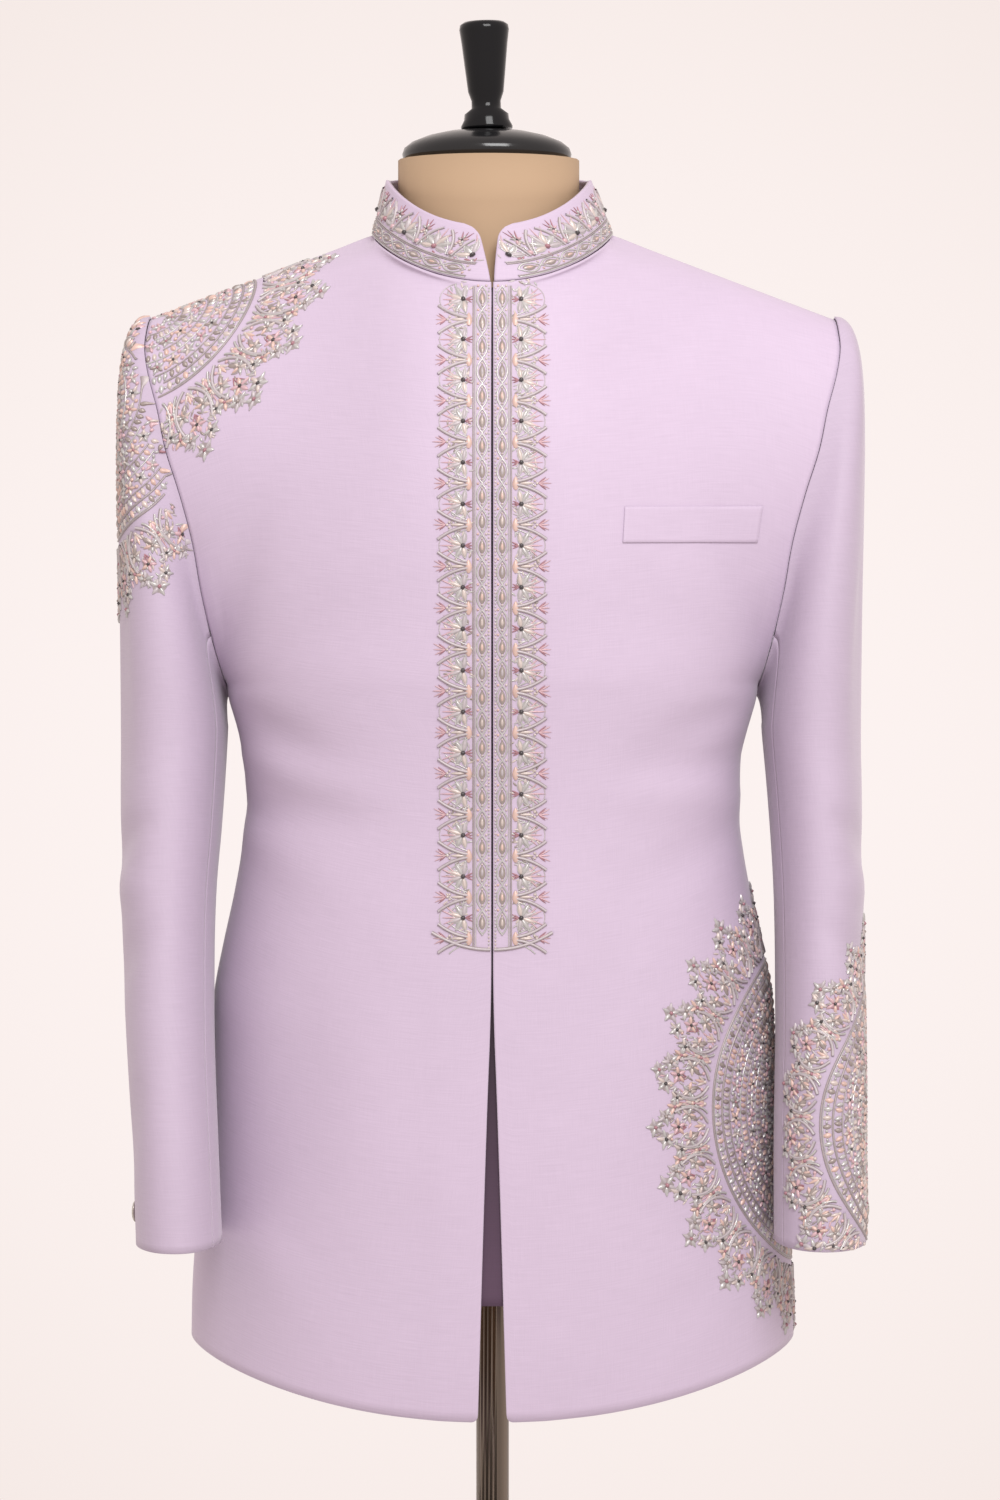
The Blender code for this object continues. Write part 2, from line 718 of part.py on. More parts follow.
def build_collar():
    """Open at the front: its edges part in a V and its top corners are rounded."""
    half_run = neck_angles(-1) + neck_angles(1)[-2::-1]
    grid = []
    for row in range(COLLAR_ROWS + 1):
        part = row / COLLAR_ROWS
        height = part * COLLAR_HEIGHT
        half_gap = COLLAR_HALF_GAP + COLLAR_PART * part ** 1.3
        short = max(0.0, COLLAR_CORNER - (COLLAR_HEIGHT - height))
        half_gap += COLLAR_CORNER - math.sqrt(max(0.0, COLLAR_CORNER ** 2 - short ** 2))
        half = NECK_HALF + (COLLAR_TOP_HALF - NECK_HALF) * part
        start = math.asin(half_gap / half)
        fixed = len(FRONT_REACHES) - 1
        squeeze = (half_run[fixed] - start) / (half_run[fixed] - half_run[0])
        run = [half_run[fixed] - (half_run[fixed] - angle) * squeeze for angle in half_run[:fixed]]
        run += half_run[fixed:]
        angles = run + [2 * math.pi - angle for angle in run[-2::-1]]
        grid.append([collar_point(angle, part) for angle in angles])
    grid = np.array(grid)
    grid[:, :, 0] += NECK_AXIS_X * (np.arange(COLLAR_ROWS + 1) / COLLAR_ROWS)[:, None]
    return wall("collar", grid, COLLAR_CLOTH, (LILAC_DEEP, 0.7), bead_rise("collar", grid))


def sleeve_ring_point(table, angle, height):
    """Sleeve section on the +X side; angle 0 is the inner side, 90 degrees the front."""
    outer, inner, middle, half_depth = smooth_table(table, height)
    power = 2.0 / SLEEVE_POWER
    x = (outer + inner) / 2 - (outer - inner) / 2 * signed_power(math.cos(angle), power)
    y = middle - half_depth * signed_power(math.sin(angle), power)
    return np.array((x, y, height))


def sleeve_column(table, step, facing):
    """One column of a sleeve, from the armhole seam over the head and down to the cuff."""
    fraction = armhole_fraction(step)
    angle = math.pi * step / UPPER_ROWS
    if facing > 0:
        angle = -angle
    outward = unit(np.array((CAP_OUT_X, 0.0, CAP_OUT_FALL[0] + CAP_OUT_FALL[1] * fraction)))
    start = armhole_point(fraction, facing)
    start = start + outward * SEAM
    middle_y = (armhole_point(0.5, -1)[1] + armhole_point(0.5, 1)[1]) / 2
    middle = np.array((start[0], middle_y, (UNDERARM + SHOULDER_TIP) / 2))
    start = start + unit(start - middle) * HEAD_LIFT * fraction ** 2
    bicep = max(row[0] for row in table)
    end = sleeve_ring_point(table, angle, bicep)
    reach = CAP_REACH[0] + CAP_REACH[1] * fraction
    drop = (start[2] - end[2]) * (CAP_DROP[0] + CAP_DROP[1] * fraction)
    column = []
    for row in range(CAP_ROWS):
        t = (row / CAP_ROWS) ** CAP_SPACING
        one = start + outward * reach
        two = end + np.array((0.0, 0.0, drop))
        column.append((1 - t) ** 3 * start + 3 * t * (1 - t) ** 2 * one
                      + 3 * t * t * (1 - t) * two + t ** 3 * end)
    cuff = min(row[0] for row in table)
    for row in range(SLEEVE_ROWS + 1):
        height = bicep + (cuff - bicep) * row / SLEEVE_ROWS
        column.append(sleeve_ring_point(table, angle, height))
    return column[::-1]


def build_sleeve(table, side):
    """Top and under sleeve, parted at the front and back seams."""
    run = [(step, -1) for step in range(UPPER_ROWS + 1)]
    run += [(step, 1) for step in range(UPPER_ROWS - 1, 0, -1)]
    ring = np.array([sleeve_column(table, step, facing) for step, facing in run]).transpose(1, 0, 2)
    count = len(run)
    wide = np.concatenate((ring[:, -1:], ring, ring[:, :1]), axis=1)
    ways = normals(wide)[:, 1:-1]
    middle = ring[-1].mean(axis=0)
    radial = ring[-1] - middle
    radial[:, 0] = 0.0
    radial /= np.linalg.norm(radial, axis=1, keepdims=True)
    ways[-1] = radial
    back_seam = count - BACK_SEAM_STEP
    top = list(range(FRONT_SEAM_STEP, back_seam + 1))
    under = list(range(back_seam, count)) + list(range(0, FRONT_SEAM_STEP + 1))
    name = "left" if side > 0 else "right"
    for piece, columns in (("top", top), ("under", under)):
        grid = pull_edge(ring[:, columns], SLEEVE_SEAM / 2, ("first", "last"))
        inner = ways[:, columns]
        if side < 0:
            grid = mirrored(grid)
            inner = mirrored(inner)
        node = f"sleeve_{piece}_{name}"
        wall(node, grid, CLOTH, (LILAC, 0.75), bead_rise(node, grid), inner)


def build_welt(front_panel):
    """Breast pocket welt on the wearer's left, laid on the front's own surface."""
    low_in, low_out, high_out, high_in = np.array(WELT_CORNERS)
    tree = surface_of(front_panel)
    chest = -max(row[2] for row in BODY_SECTIONS)
    grid = []
    for row in range(WELT_ROWS + 1):
        v = row / WELT_ROWS
        line = []
        for step in range(WELT_STEPS + 1):
            u = step / WELT_STEPS
            low = low_in + (low_out - low_in) * u
            high = high_in + (high_out - high_in) * u
            x, height = low + (high - low) * v
            line.append(on_surface(tree, (x, chest, height), (0.0, -1.0, 0.0), LAY + WELT_CLOTH))
        grid.append(line)
    return wall("breast_welt", np.array(grid), WELT_CLOTH, (LILAC_DEEP, 0.7))


def build_buttons():
    """One domed metal button on the back edge of each cuff, as worn: it doesn't turn."""
    for name, table, side in (("cuff_button_right", RIGHT_SLEEVE, -1), ("cuff_button_left", LEFT_SLEEVE, 1)):
        place = sleeve_ring_point(table, BUTTON_ANGLE, BUTTON_HEIGHT)
        ahead = sleeve_ring_point(table, BUTTON_ANGLE + math.radians(3.0), BUTTON_HEIGHT)
        along = unit(ahead - place)
        outward = np.array((abs(along[1]), abs(along[0]), 0.0))
        seat = (place + outward * LAY) * np.array((side, 1, 1))
        outward = outward * np.array((side, 1, 1))
        made = lathe(name, BUTTON_PROFILE, 16, (SILVER, 0.3, 1.0))
        turn = Vector((0, 0, 1)).rotation_difference(Vector(outward)).to_matrix().to_4x4()
        made.data.transform(Matrix.Translation(Vector(seat)) @ turn)


def raised(profile, foot):
    return [(radius, foot + height) for radius, height in profile]


def build_stand():
    """Round base and bronze tube below the form, lacquered cap and knob above it."""
    lathe("base", BASE_PROFILE, 48, (STEEL, 0.4, 0.9))
    low, high = SOCKET_TOP + SEAM, FORM_BOTTOM - SEAM
    lathe("pole", ((0.0, low), (POLE_RADIUS, low), (POLE_RADIUS, high), (0.0, high)), 24, (BRONZE, 0.3, 1.0))
    centre = (NECK_AXIS_X + CAP_SHIFT, 0.0)
    cap_foot = FORM_NECK_TOP + SEAM
    lathe("neck_cap", raised(CAP_PROFILE, cap_foot), 40, (LACQUER, 0.12), centre, CAP_SQUASH)
    knob_foot = cap_foot + CAP_PROFILE[-1][1] + SEAM
    lathe("knob", raised(KNOB_PROFILE, knob_foot), 32, (LACQUER, 0.12), centre, lean=KNOB_LEAN)


def main():
    clear_scene()
    front, front_corner = half_surface(-1)
    back, back_corner = half_surface(1)
    front_ways, back_ways = sewn_ways(front, back, front_corner, back_corner)
    panels = build_fronts(front, front_ways)
    build_back(back, back_ways)
    build_underlap(front, front_ways)
    build_collar()
    build_welt(panels["front_left"])
    build_sleeve(LEFT_SLEEVE, 1)
    build_sleeve(RIGHT_SLEEVE, -1)
    build_buttons()
    build_form(front, back, front_ways, back_ways, front_corner, back_corner)
    build_stand()


main()
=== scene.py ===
"""A lilac bandhgala jacket with beaded half medallions, worn by a limbless dress form.

Every cloth piece is a thin shell over the frame's own surfaces, and the beadwork is laid out
flat, in metres, and then set on those surfaces.
"""
import math

import bmesh
import bpy
import numpy as np
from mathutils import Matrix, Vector
from mathutils.bvhtree import BVHTree


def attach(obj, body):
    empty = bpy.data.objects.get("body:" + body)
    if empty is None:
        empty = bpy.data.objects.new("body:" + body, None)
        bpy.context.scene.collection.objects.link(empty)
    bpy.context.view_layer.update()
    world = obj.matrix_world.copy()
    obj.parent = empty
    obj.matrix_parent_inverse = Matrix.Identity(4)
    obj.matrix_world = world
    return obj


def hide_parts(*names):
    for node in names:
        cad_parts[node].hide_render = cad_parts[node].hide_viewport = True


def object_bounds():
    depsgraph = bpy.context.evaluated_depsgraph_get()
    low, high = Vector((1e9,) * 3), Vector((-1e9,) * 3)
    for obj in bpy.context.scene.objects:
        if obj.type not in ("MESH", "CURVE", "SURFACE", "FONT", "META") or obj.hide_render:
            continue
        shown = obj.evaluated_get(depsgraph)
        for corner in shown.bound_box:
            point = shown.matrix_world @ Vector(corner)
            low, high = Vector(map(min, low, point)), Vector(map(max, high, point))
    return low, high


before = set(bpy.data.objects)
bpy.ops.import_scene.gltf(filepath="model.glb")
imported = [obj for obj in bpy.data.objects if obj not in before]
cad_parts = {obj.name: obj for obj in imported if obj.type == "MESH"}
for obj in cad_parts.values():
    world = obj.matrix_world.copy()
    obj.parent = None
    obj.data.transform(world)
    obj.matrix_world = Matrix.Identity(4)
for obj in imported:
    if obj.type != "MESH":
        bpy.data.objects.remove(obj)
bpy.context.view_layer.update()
rng = np.random.default_rng(17)


# Cloth and seams
CLOTH = 0.0020            # wall of the lined coating cloth
COLLAR_CLOTH = 0.0026     # interfaced stand collar
UNDERLAP_CLOTH = 0.0012
SEAM = 0.0001             # gap between sewn pieces
SLEEVE_SEAM = 0.0002      # the same where the seam turns into the armhole
LAY = 0.0005              # gap under a piece that lies on a panel

# Heights of the garment's main levels
SIDE_HEM = 0.252
FRONT_DIP = 0.034         # the hem hangs this much lower at centre front
BACK_RISE = 0.006
UNDERARM = 0.679
SHOULDER_TIP = 0.9290
SHOULDER_NECK = 0.9805
FRONT_NECK = 0.9485
SLIT_TOP = 0.481
UNDERLAP_END = 0.292

# Plan sizes
SIDE_SEAM_ANGLE = math.radians(96.0)
SECTION_POWER = 2.1
CLOSURE_HALF_GAP = 0.0006
HEM_HALF_GAP = 0.0092
NECK_AXIS_X = -0.0025     # the form's neck stands a little to the wearer's right
NECK_HALF = 0.0800        # collar seam, half width
NECK_FRONT = 0.0850
NECK_BACK = 0.0600
NECK_BACK_RISE = 0.012
NECK_SHOULDER_LIFT = 0.004
PLACKET_HALF = 0.0400
BORDER_HALF = 0.0120

# Columns of a half body next to its middle line, as distances from that line
FRONT_REACHES = (CLOSURE_HALF_GAP, BORDER_HALF, 0.0260, PLACKET_HALF)
BACK_REACHES = (0.0, 0.0140, 0.0280, 0.0420)

# Body sections: height, half width, depth in front, depth behind
BODY_SECTIONS = (
    (0.200, 0.2025, 0.140, 0.136),
    (0.250, 0.2020, 0.139, 0.134),
    (0.306, 0.2000, 0.136, 0.130),
    (0.350, 0.1950, 0.134, 0.127),
    (0.400, 0.1910, 0.132, 0.122),
    (0.440, 0.1885, 0.130, 0.118),
    (0.486, 0.1855, 0.128, 0.113),
    (0.542, 0.1735, 0.126, 0.106),
    (0.593, 0.1655, 0.124, 0.099),
    (0.620, 0.1648, 0.125, 0.098),
    (0.654, 0.1690, 0.128, 0.102),
    (0.679, 0.1755, 0.131, 0.107),
    (0.720, 0.1860, 0.135, 0.114),
)

# Armhole: height fraction from underarm to shoulder tip, reach from the centre
ARMHOLE_REACH = (
    (0.00, 0.1755),
    (0.08, 0.1800),
    (0.21, 0.1880),
    (0.42, 0.1970),
    (0.52, 0.2035),
    (0.64, 0.2130),
    (0.75, 0.2190),
    (0.91, 0.2285),
    (1.00, 0.2275),
)
ARMHOLE_FRONT = 0.066
ARMHOLE_BACK = 0.064
ARMHOLE_MIDDLE = 0.004
ARMHOLE_TURN = math.radians(34.0)   # how far round the body the armhole cuts in
ARMHOLE_EASE = 2.2                  # how closely inner columns follow its edge

# Sleeves: height, outer edge, inner edge, middle depth, half depth
RIGHT_SLEEVE = (
    (0.654, 0.2470, 0.1768, -0.004, 0.078),
    (0.606, 0.2462, 0.1790, -0.016, 0.074),
    (0.543, 0.2440, 0.1832, -0.034, 0.069),
    (0.500, 0.2420, 0.1832, -0.048, 0.066),
    (0.460, 0.2390, 0.1822, -0.064, 0.062),
    (0.393, 0.2335, 0.1785, -0.086, 0.057),
    (0.329, 0.2300, 0.1750, -0.102, 0.053),
)
LEFT_SLEEVE = (
    (0.654, 0.2450, 0.1800, -0.003, 0.078),
    (0.606, 0.2450, 0.1838, -0.013, 0.074),
    (0.543, 0.2444, 0.1868, -0.028, 0.069),
    (0.500, 0.2444, 0.1868, -0.040, 0.066),
    (0.460, 0.2440, 0.1862, -0.053, 0.062),
    (0.393, 0.2435, 0.1840, -0.073, 0.057),
    (0.328, 0.2425, 0.1832, -0.089, 0.053),
)
SLEEVE_POWER = 2.15
HEAD_LIFT = 0.0022        # the roped sleeve head stands above the shoulder seam
# The sleeve cap leaves the armhole outwards and comes down into the upper arm
CAP_OUT_X = 0.977
CAP_OUT_FALL = (-0.21, 0.20)        # at the underarm, and what the shoulder tip adds
CAP_REACH = (0.004, 0.024)
CAP_DROP = (0.45, 0.25)
CAP_SPACING = 1.25

# Mesh spacing
LOWER_ROWS = 13
UPPER_ROWS = 12
SHOULDER_COLUMNS = 6
NECK_COLUMNS = 3
CAP_ROWS = 8
SLEEVE_ROWS = 10
FRONT_SEAM_STEP = 2       # sleeve seams, counted in steps round from the underarm
BACK_SEAM_STEP = 8

# Dress form and stand
POLE_RADIUS = 0.0110
BASE_RADIUS = 0.170
BASE_HEIGHT = 0.016
SOCKET_RADIUS = 0.022
SOCKET_TOP = 0.050
FORM_BOTTOM = 0.318
FORM_DRAW_IN = 0.0085     # form below the cloth's outer face, but at the shoulders
FORM_NECK_HALF = 0.0600
FORM_NECK_DEPTH = 0.0520
FORM_NECK_FORWARD = 0.0060
FORM_NECK_TOP = 1.0335
CAP_RADIUS = 0.0562
KNOB_LEAN = math.radians(1.6)
CAP_SQUASH = 0.95
CAP_SHIFT = -0.0012
LOWEST_FORM_ROW = 4
FORM_TURN_ROW = LOWER_ROWS + 3      # the form comes closer to the cloth above this row
NECK_LEVELS = ((0.30, 0.0012), (0.65, 0.0), (1.0, 0.0))   # height fraction, swell

BUTTON_HEIGHT = 0.3445
BUTTON_ANGLE = math.radians(-158.0)

# Collar
COLLAR_HEIGHT = 0.0370
COLLAR_TOP_HALF = 0.0680
COLLAR_TOP_FRONT = 0.0730
COLLAR_TOP_BACK = 0.0560
COLLAR_ROWS = 5
COLLAR_CORNER = 0.0085    # radius of the rounded front corners
COLLAR_LIFT = 0.0004      # of its lower edge above the seam
COLLAR_HALF_GAP = 0.0012  # between its front edges at the seam
COLLAR_PART = 0.0060      # and how much further they part towards the top

# Breast welt: its corners (x, height), anticlockwise from the lower inner one
WELT_CORNERS = ((0.0832, 0.7800), (0.1722, 0.7805), (0.1756, 0.8040), (0.0846, 0.8030))
WELT_CLOTH = 0.0014
WELT_STEPS = 16
WELT_ROWS = 3




def smooth_table(rows, key):
    """Read every column of a short table at a key, with a smooth curve through its rows."""
    table = np.array(sorted(rows), dtype=float)
    keys = table[:, 0]
    values = table[:, 1:]
    slopes = np.gradient(values, keys, axis=0)
    key = min(max(key, keys[0]), keys[-1])
    place = int(np.clip(np.searchsorted(keys, key, side="right") - 1, 0, len(keys) - 2))
    span = keys[place + 1] - keys[place]
    t = (key - keys[place]) / span
    start = (1 + 2 * t) * (1 - t) ** 2 * values[place] + t * (1 - t) ** 2 * span * slopes[place]
    end = t * t * (3 - 2 * t) * values[place + 1] + t * t * (t - 1) * span * slopes[place + 1]
    return start + end


def signed_power(value, power):
    return math.copysign(abs(value) ** power, value)


def body_point(angle, height):
    """A point of the body surface; angle 0 is centre front, 180 degrees centre back."""
    half_width, front, back = smooth_table(BODY_SECTIONS, height)
    power = 2.0 / SECTION_POWER
    depth = front if math.cos(angle) > 0 else back
    x = half_width * signed_power(math.sin(angle), power)
    y = -depth * signed_power(math.cos(angle), power)
    return np.array((x, y, height))


def angle_at_reach(reach, height):
    half_width = smooth_table(BODY_SECTIONS, height)[0]
    return math.asin(min(1.0, reach / half_width) ** (SECTION_POWER / 2.0))


def hem_height(angle):
    drop = math.cos(angle) ** 2
    if math.cos(angle) > 0:
        return SIDE_HEM - FRONT_DIP * drop
    return SIDE_HEM + BACK_RISE * drop


def armhole_fraction(step):
    """Height fraction of one step up the armhole, denser at the underarm and the tip."""
    return (1 - math.cos(math.pi * (step / UPPER_ROWS) ** 0.75)) / 2


def armhole_swell(fraction):
    """How far the armhole's edge stands from its middle line, 1 at half height."""
    return math.sqrt(max(0.0, 1 - (2 * fraction - 1) ** 2)) ** 0.9


def armhole_point(fraction, facing):
    """Armhole seam on the +X side; facing -1 is the front run, +1 the back run."""
    reach = smooth_table(ARMHOLE_REACH, fraction)[0]
    swell = armhole_swell(fraction)
    depth = ARMHOLE_FRONT if facing < 0 else ARMHOLE_BACK
    side_y = body_point(SIDE_SEAM_ANGLE, UNDERARM)[1]
    middle = side_y + (ARMHOLE_MIDDLE - side_y) * fraction
    height = UNDERARM + (SHOULDER_TIP - UNDERARM) * fraction
    return np.array((reach, middle + facing * depth * swell, height))


def neck_point(angle):
    """Collar seam; angle 0 is centre front, 90 degrees the shoulder, 180 centre back."""
    x = NECK_HALF * math.sin(angle)
    if math.cos(angle) > 0:
        drop = math.cos(angle) ** 1.5
        height = SHOULDER_NECK + NECK_SHOULDER_LIFT * (1 - drop) - (SHOULDER_NECK - FRONT_NECK) * drop
        return np.array((x, -NECK_FRONT * math.cos(angle), height))
    rise = math.cos(angle) ** 2
    height = SHOULDER_NECK + NECK_SHOULDER_LIFT + NECK_BACK_RISE * rise
    return np.array((x, -NECK_BACK * math.cos(angle), height))


def hermite(start, start_way, end, end_way, t):
    length = np.linalg.norm(end - start)
    return ((1 + 2 * t) * (1 - t) ** 2 * start + t * (1 - t) ** 2 * length * start_way
            + t * t * (3 - 2 * t) * end + t * t * (t - 1) * length * end_way)


def unit(vector):
    return vector / np.linalg.norm(vector)


def closure_reach(height):
    """Half gap between the two fronts: edge to edge above, an opening slit below."""
    open_part = max(0.0, (SLIT_TOP - height) / (SLIT_TOP - SIDE_HEM + FRONT_DIP))
    return CLOSURE_HALF_GAP + (HEM_HALF_GAP - CLOSURE_HALF_GAP) * open_part ** 0.85


FRONT_REACHES = (CLOSURE_HALF_GAP, BORDER_HALF, 0.0260, PLACKET_HALF)
BACK_REACHES = (0.0, 0.0140, 0.0280, 0.0420)


def neck_angles(facing):
    """Angles of the columns along the collar seam, from the middle out to the shoulder."""
    reaches = FRONT_REACHES if facing < 0 else BACK_REACHES
    angles = [math.asin(reach / NECK_HALF) for reach in reaches]
    for step in range(1, NECK_COLUMNS + 2):
        part = step / (NECK_COLUMNS + 1)
        angles.append(math.asin(reaches[-1] / NECK_HALF) * (1 - part) + math.pi / 2 * part)
    return angles if facing < 0 else [math.pi - angle for angle in angles]


def half_surface(facing):
    """Grid of one half of the body, rows from the hem up and columns from the middle out."""
    inner = FRONT_REACHES if facing < 0 else BACK_REACHES
    neck = neck_angles(facing)
    corner = len(neck) - 1
    columns = len(neck) + SHOULDER_COLUMNS
    last = columns - 1

    def column_angle(column, height, side_angle=SIDE_SEAM_ANGLE):
        if column < len(inner):
            reach = inner[column]
            if facing < 0 and column == 0:
                reach = closure_reach(height)
            angle = angle_at_reach(reach, height)
            return angle if facing < 0 else math.pi - angle
        start = angle_at_reach(inner[-1], height)
        start = start if facing < 0 else math.pi - start
        part = (column - len(inner) + 1) / (columns - len(inner))
        return start + (side_angle - start) * part

    def top_point(column):
        if column < corner:
            return neck_point(neck[column])
        part = (column - corner) / SHOULDER_COLUMNS
        start = neck_point(math.pi / 2)
        end = armhole_point(1.0, facing)
        return start + (end - start) * part

    def top_way(column):
        if column < corner:
            part = column / corner
            front_way = np.array((0.0, -facing * (0.50 + 0.40 * part), 0.87 - 0.45 * part))
            return unit(front_way)
        part = (column - corner) / SHOULDER_COLUMNS
        return unit(np.array((0.0, -facing * 0.95, 0.40 - 0.22 * part)))

    grid = []
    for row in range(LOWER_ROWS):
        part = row / LOWER_ROWS
        line = []
        for column in range(columns):
            guess = column_angle(column, SIDE_HEM)
            low = hem_height(guess)
            height = low + (UNDERARM - low) * part
            line.append(body_point(column_angle(column, height), height))
        grid.append(line)

    tip = armhole_point(1.0, facing)
    for row in range(UPPER_ROWS + 1):
        fraction = armhole_fraction(row)
        line = []
        side_angle = SIDE_SEAM_ANGLE + facing * ARMHOLE_TURN * armhole_swell(min(fraction, 0.5))
        side_start = body_point(side_angle, UNDERARM)
        side_curve = hermite(side_start, rise_way(side_angle), tip, top_way(last), fraction)
        away = armhole_point(fraction, facing) - side_curve
        for column in range(columns):
            angle = column_angle(column, UNDERARM, side_angle)
            start = body_point(angle, UNDERARM)
            point = hermite(start, rise_way(angle), top_point(column), top_way(column), fraction)
            share = max(0.0, (column - len(inner) + 1) / (columns - len(inner)))
            point = point + away * share ** ARMHOLE_EASE
            line.append(point)
        grid.append(line)
    return relax(np.array(grid), LOWER_ROWS + 2), corner


def relax(grid, first_row, rounds=6):
    """Even out a half grid from a row to just below the collar, without moving its edges."""
    grid = grid.copy()
    for _ in range(rounds):
        middle = grid[first_row:-2, 1:-1]
        sides = (grid[first_row:-2, :-2] + grid[first_row:-2, 2:]) / 2
        grid[first_row:-2, 1:-1] = (middle + sides) / 2
    return grid


def rise_way(angle):
    """Direction in which the body surface rises through the underarm level."""
    step = 0.012
    return unit(body_point(angle, UNDERARM + step) - body_point(angle, UNDERARM - step))


def mirrored(grid):
    """The same grid on the -X side, with its columns turned round so that it faces out."""
    flipped = grid[:, ::-1].copy()
    flipped[:, :, 0] *= -1
    return flipped


def normals(grid):
    """Outward normals of a grid whose columns run to the left seen from outside."""
    along = np.empty_like(grid)
    up = np.empty_like(grid)
    along[:, 1:-1] = grid[:, 2:] - grid[:, :-2]
    along[:, 0] = grid[:, 1] - grid[:, 0]
    along[:, -1] = grid[:, -1] - grid[:, -2]
    up[1:-1] = grid[2:] - grid[:-2]
    up[0] = grid[1] - grid[0]
    up[-1] = grid[-1] - grid[-2]
    cross = np.cross(along, up)
    return cross / np.linalg.norm(cross, axis=2, keepdims=True)


def pull_edge(grid, distance, edges):
    """Draw the named edges of a grid back along its surface, for the gap at a seam."""
    grid = grid.copy()
    lines = {
        "first": (np.s_[:, 0], np.s_[:, 1]),
        "last": (np.s_[:, -1], np.s_[:, -2]),
        "bottom": (np.s_[0], np.s_[1]),
        "top": (np.s_[-1], np.s_[-2]),
    }
    for edge in edges:
        here, inside = lines[edge]
        way = grid[inside] - grid[here]
        grid[here] += way / np.linalg.norm(way, axis=-1, keepdims=True) * distance
    return grid


def sewn_ways(front, back, front_corner, back_corner):
    """Inward directions of both halves, shared along the side and shoulder seams."""
    front_ways = normals(front)
    back_ways = normals(back[:, ::-1])[:, ::-1]
    back_ways[:, 0, 0] = 0.0
    side = front_ways[:, -1] + back_ways[:, -1]
    side /= np.linalg.norm(side, axis=1, keepdims=True)
    front_ways[:LOWER_ROWS + 1, -1] = side[:LOWER_ROWS + 1]
    back_ways[:LOWER_ROWS + 1, -1] = side[:LOWER_ROWS + 1]
    for column in range(SHOULDER_COLUMNS + 1):
        shared = unit(front_ways[-1, front_corner + column] + back_ways[-1, back_corner + column])
        front_ways[-1, front_corner + column] = shared
        back_ways[-1, back_corner + column] = shared
    return front_ways, back_ways


def collar_point(angle, part):
    """Outer face of the stand collar, from its seam (0) to its rolled top edge (1)."""
    low = neck_point(angle)
    x = COLLAR_TOP_HALF * math.sin(angle)
    depth = COLLAR_TOP_FRONT if math.cos(angle) > 0 else COLLAR_TOP_BACK
    high = np.array((x, -depth * math.cos(angle), low[2] + COLLAR_HEIGHT))
    low = low + np.array((0.0, 0.0, COLLAR_LIFT))
    return low + (high - low) * part


def sleeve_ring_point(table, angle, height):
    """Sleeve section on the +X side; angle 0 is the inner side, 90 degrees the front."""
    outer, inner, middle, half_depth = smooth_table(table, height)
    power = 2.0 / SLEEVE_POWER
    x = (outer + inner) / 2 - (outer - inner) / 2 * signed_power(math.cos(angle), power)
    y = middle - half_depth * signed_power(math.sin(angle), power)
    return np.array((x, y, height))


def sleeve_column(table, step, facing):
    """One column of a sleeve, from the armhole seam over the head and down to the cuff."""
    fraction = armhole_fraction(step)
    angle = math.pi * step / UPPER_ROWS
    if facing > 0:
        angle = -angle
    outward = unit(np.array((CAP_OUT_X, 0.0, CAP_OUT_FALL[0] + CAP_OUT_FALL[1] * fraction)))
    start = armhole_point(fraction, facing)
    start = start + outward * SEAM
    middle_y = (armhole_point(0.5, -1)[1] + armhole_point(0.5, 1)[1]) / 2
    middle = np.array((start[0], middle_y, (UNDERARM + SHOULDER_TIP) / 2))
    start = start + unit(start - middle) * HEAD_LIFT * fraction ** 2
    bicep = max(row[0] for row in table)
    end = sleeve_ring_point(table, angle, bicep)
    reach = CAP_REACH[0] + CAP_REACH[1] * fraction
    drop = (start[2] - end[2]) * (CAP_DROP[0] + CAP_DROP[1] * fraction)
    column = []
    for row in range(CAP_ROWS):
        t = (row / CAP_ROWS) ** CAP_SPACING
        one = start + outward * reach
        two = end + np.array((0.0, 0.0, drop))
        column.append((1 - t) ** 3 * start + 3 * t * (1 - t) ** 2 * one
                      + 3 * t * t * (1 - t) * two + t ** 3 * end)
    cuff = min(row[0] for row in table)
    for row in range(SLEEVE_ROWS + 1):
        height = bicep + (cuff - bicep) * row / SLEEVE_ROWS
        column.append(sleeve_ring_point(table, angle, height))
    return column[::-1]



# Finer shells over the same surfaces
FRONT_CELLS = (5, 8)
BACK_CELLS = (5, 5)
SLEEVE_CELLS = (6, 6)
COLLAR_CELLS = (4, 6)
EDGE_TURN = 0.0003        # the outer edge is drawn back this far and rounded over
HEM_CORNER = 0.0045


def refine_axis(grid, cells, axis):
    """Smooth finer rows through every point of a coarser grid."""
    grid = np.moveaxis(grid, axis, 0)
    count = len(grid)
    wide = np.concatenate((2 * grid[:1] - grid[1:2], grid, 2 * grid[-1:] - grid[-2:-1]))
    keys = np.linspace(0, count - 1, (count - 1) * cells + 1)
    place = np.minimum(keys.astype(int), count - 2)
    t = (keys - place).reshape((-1,) + (1,) * (grid.ndim - 1))
    before, here, after, beyond = (wide[place + k] for k in range(4))
    fine = 0.5 * (2 * here + (after - before) * t
                  + (2 * before - 5 * here + 4 * after - beyond) * t ** 2
                  + (3 * here - before - 3 * after + beyond) * t ** 3)
    return np.moveaxis(fine, 0, axis)


def refine(grid, cells):
    return refine_axis(refine_axis(grid, cells[0], 0), cells[1], 1)


def run_length(grid, axis):
    """Length along a grid's lines from its first row or column."""
    steps = np.linalg.norm(np.diff(grid, axis=axis), axis=2)
    total = np.cumsum(steps, axis=axis)
    start = np.zeros_like(np.take(total, [0], axis=axis))
    return np.concatenate((start, total), axis=axis)


def flat_of(grid):
    return np.stack((run_length(grid, 1), run_length(grid, 0)), axis=2)


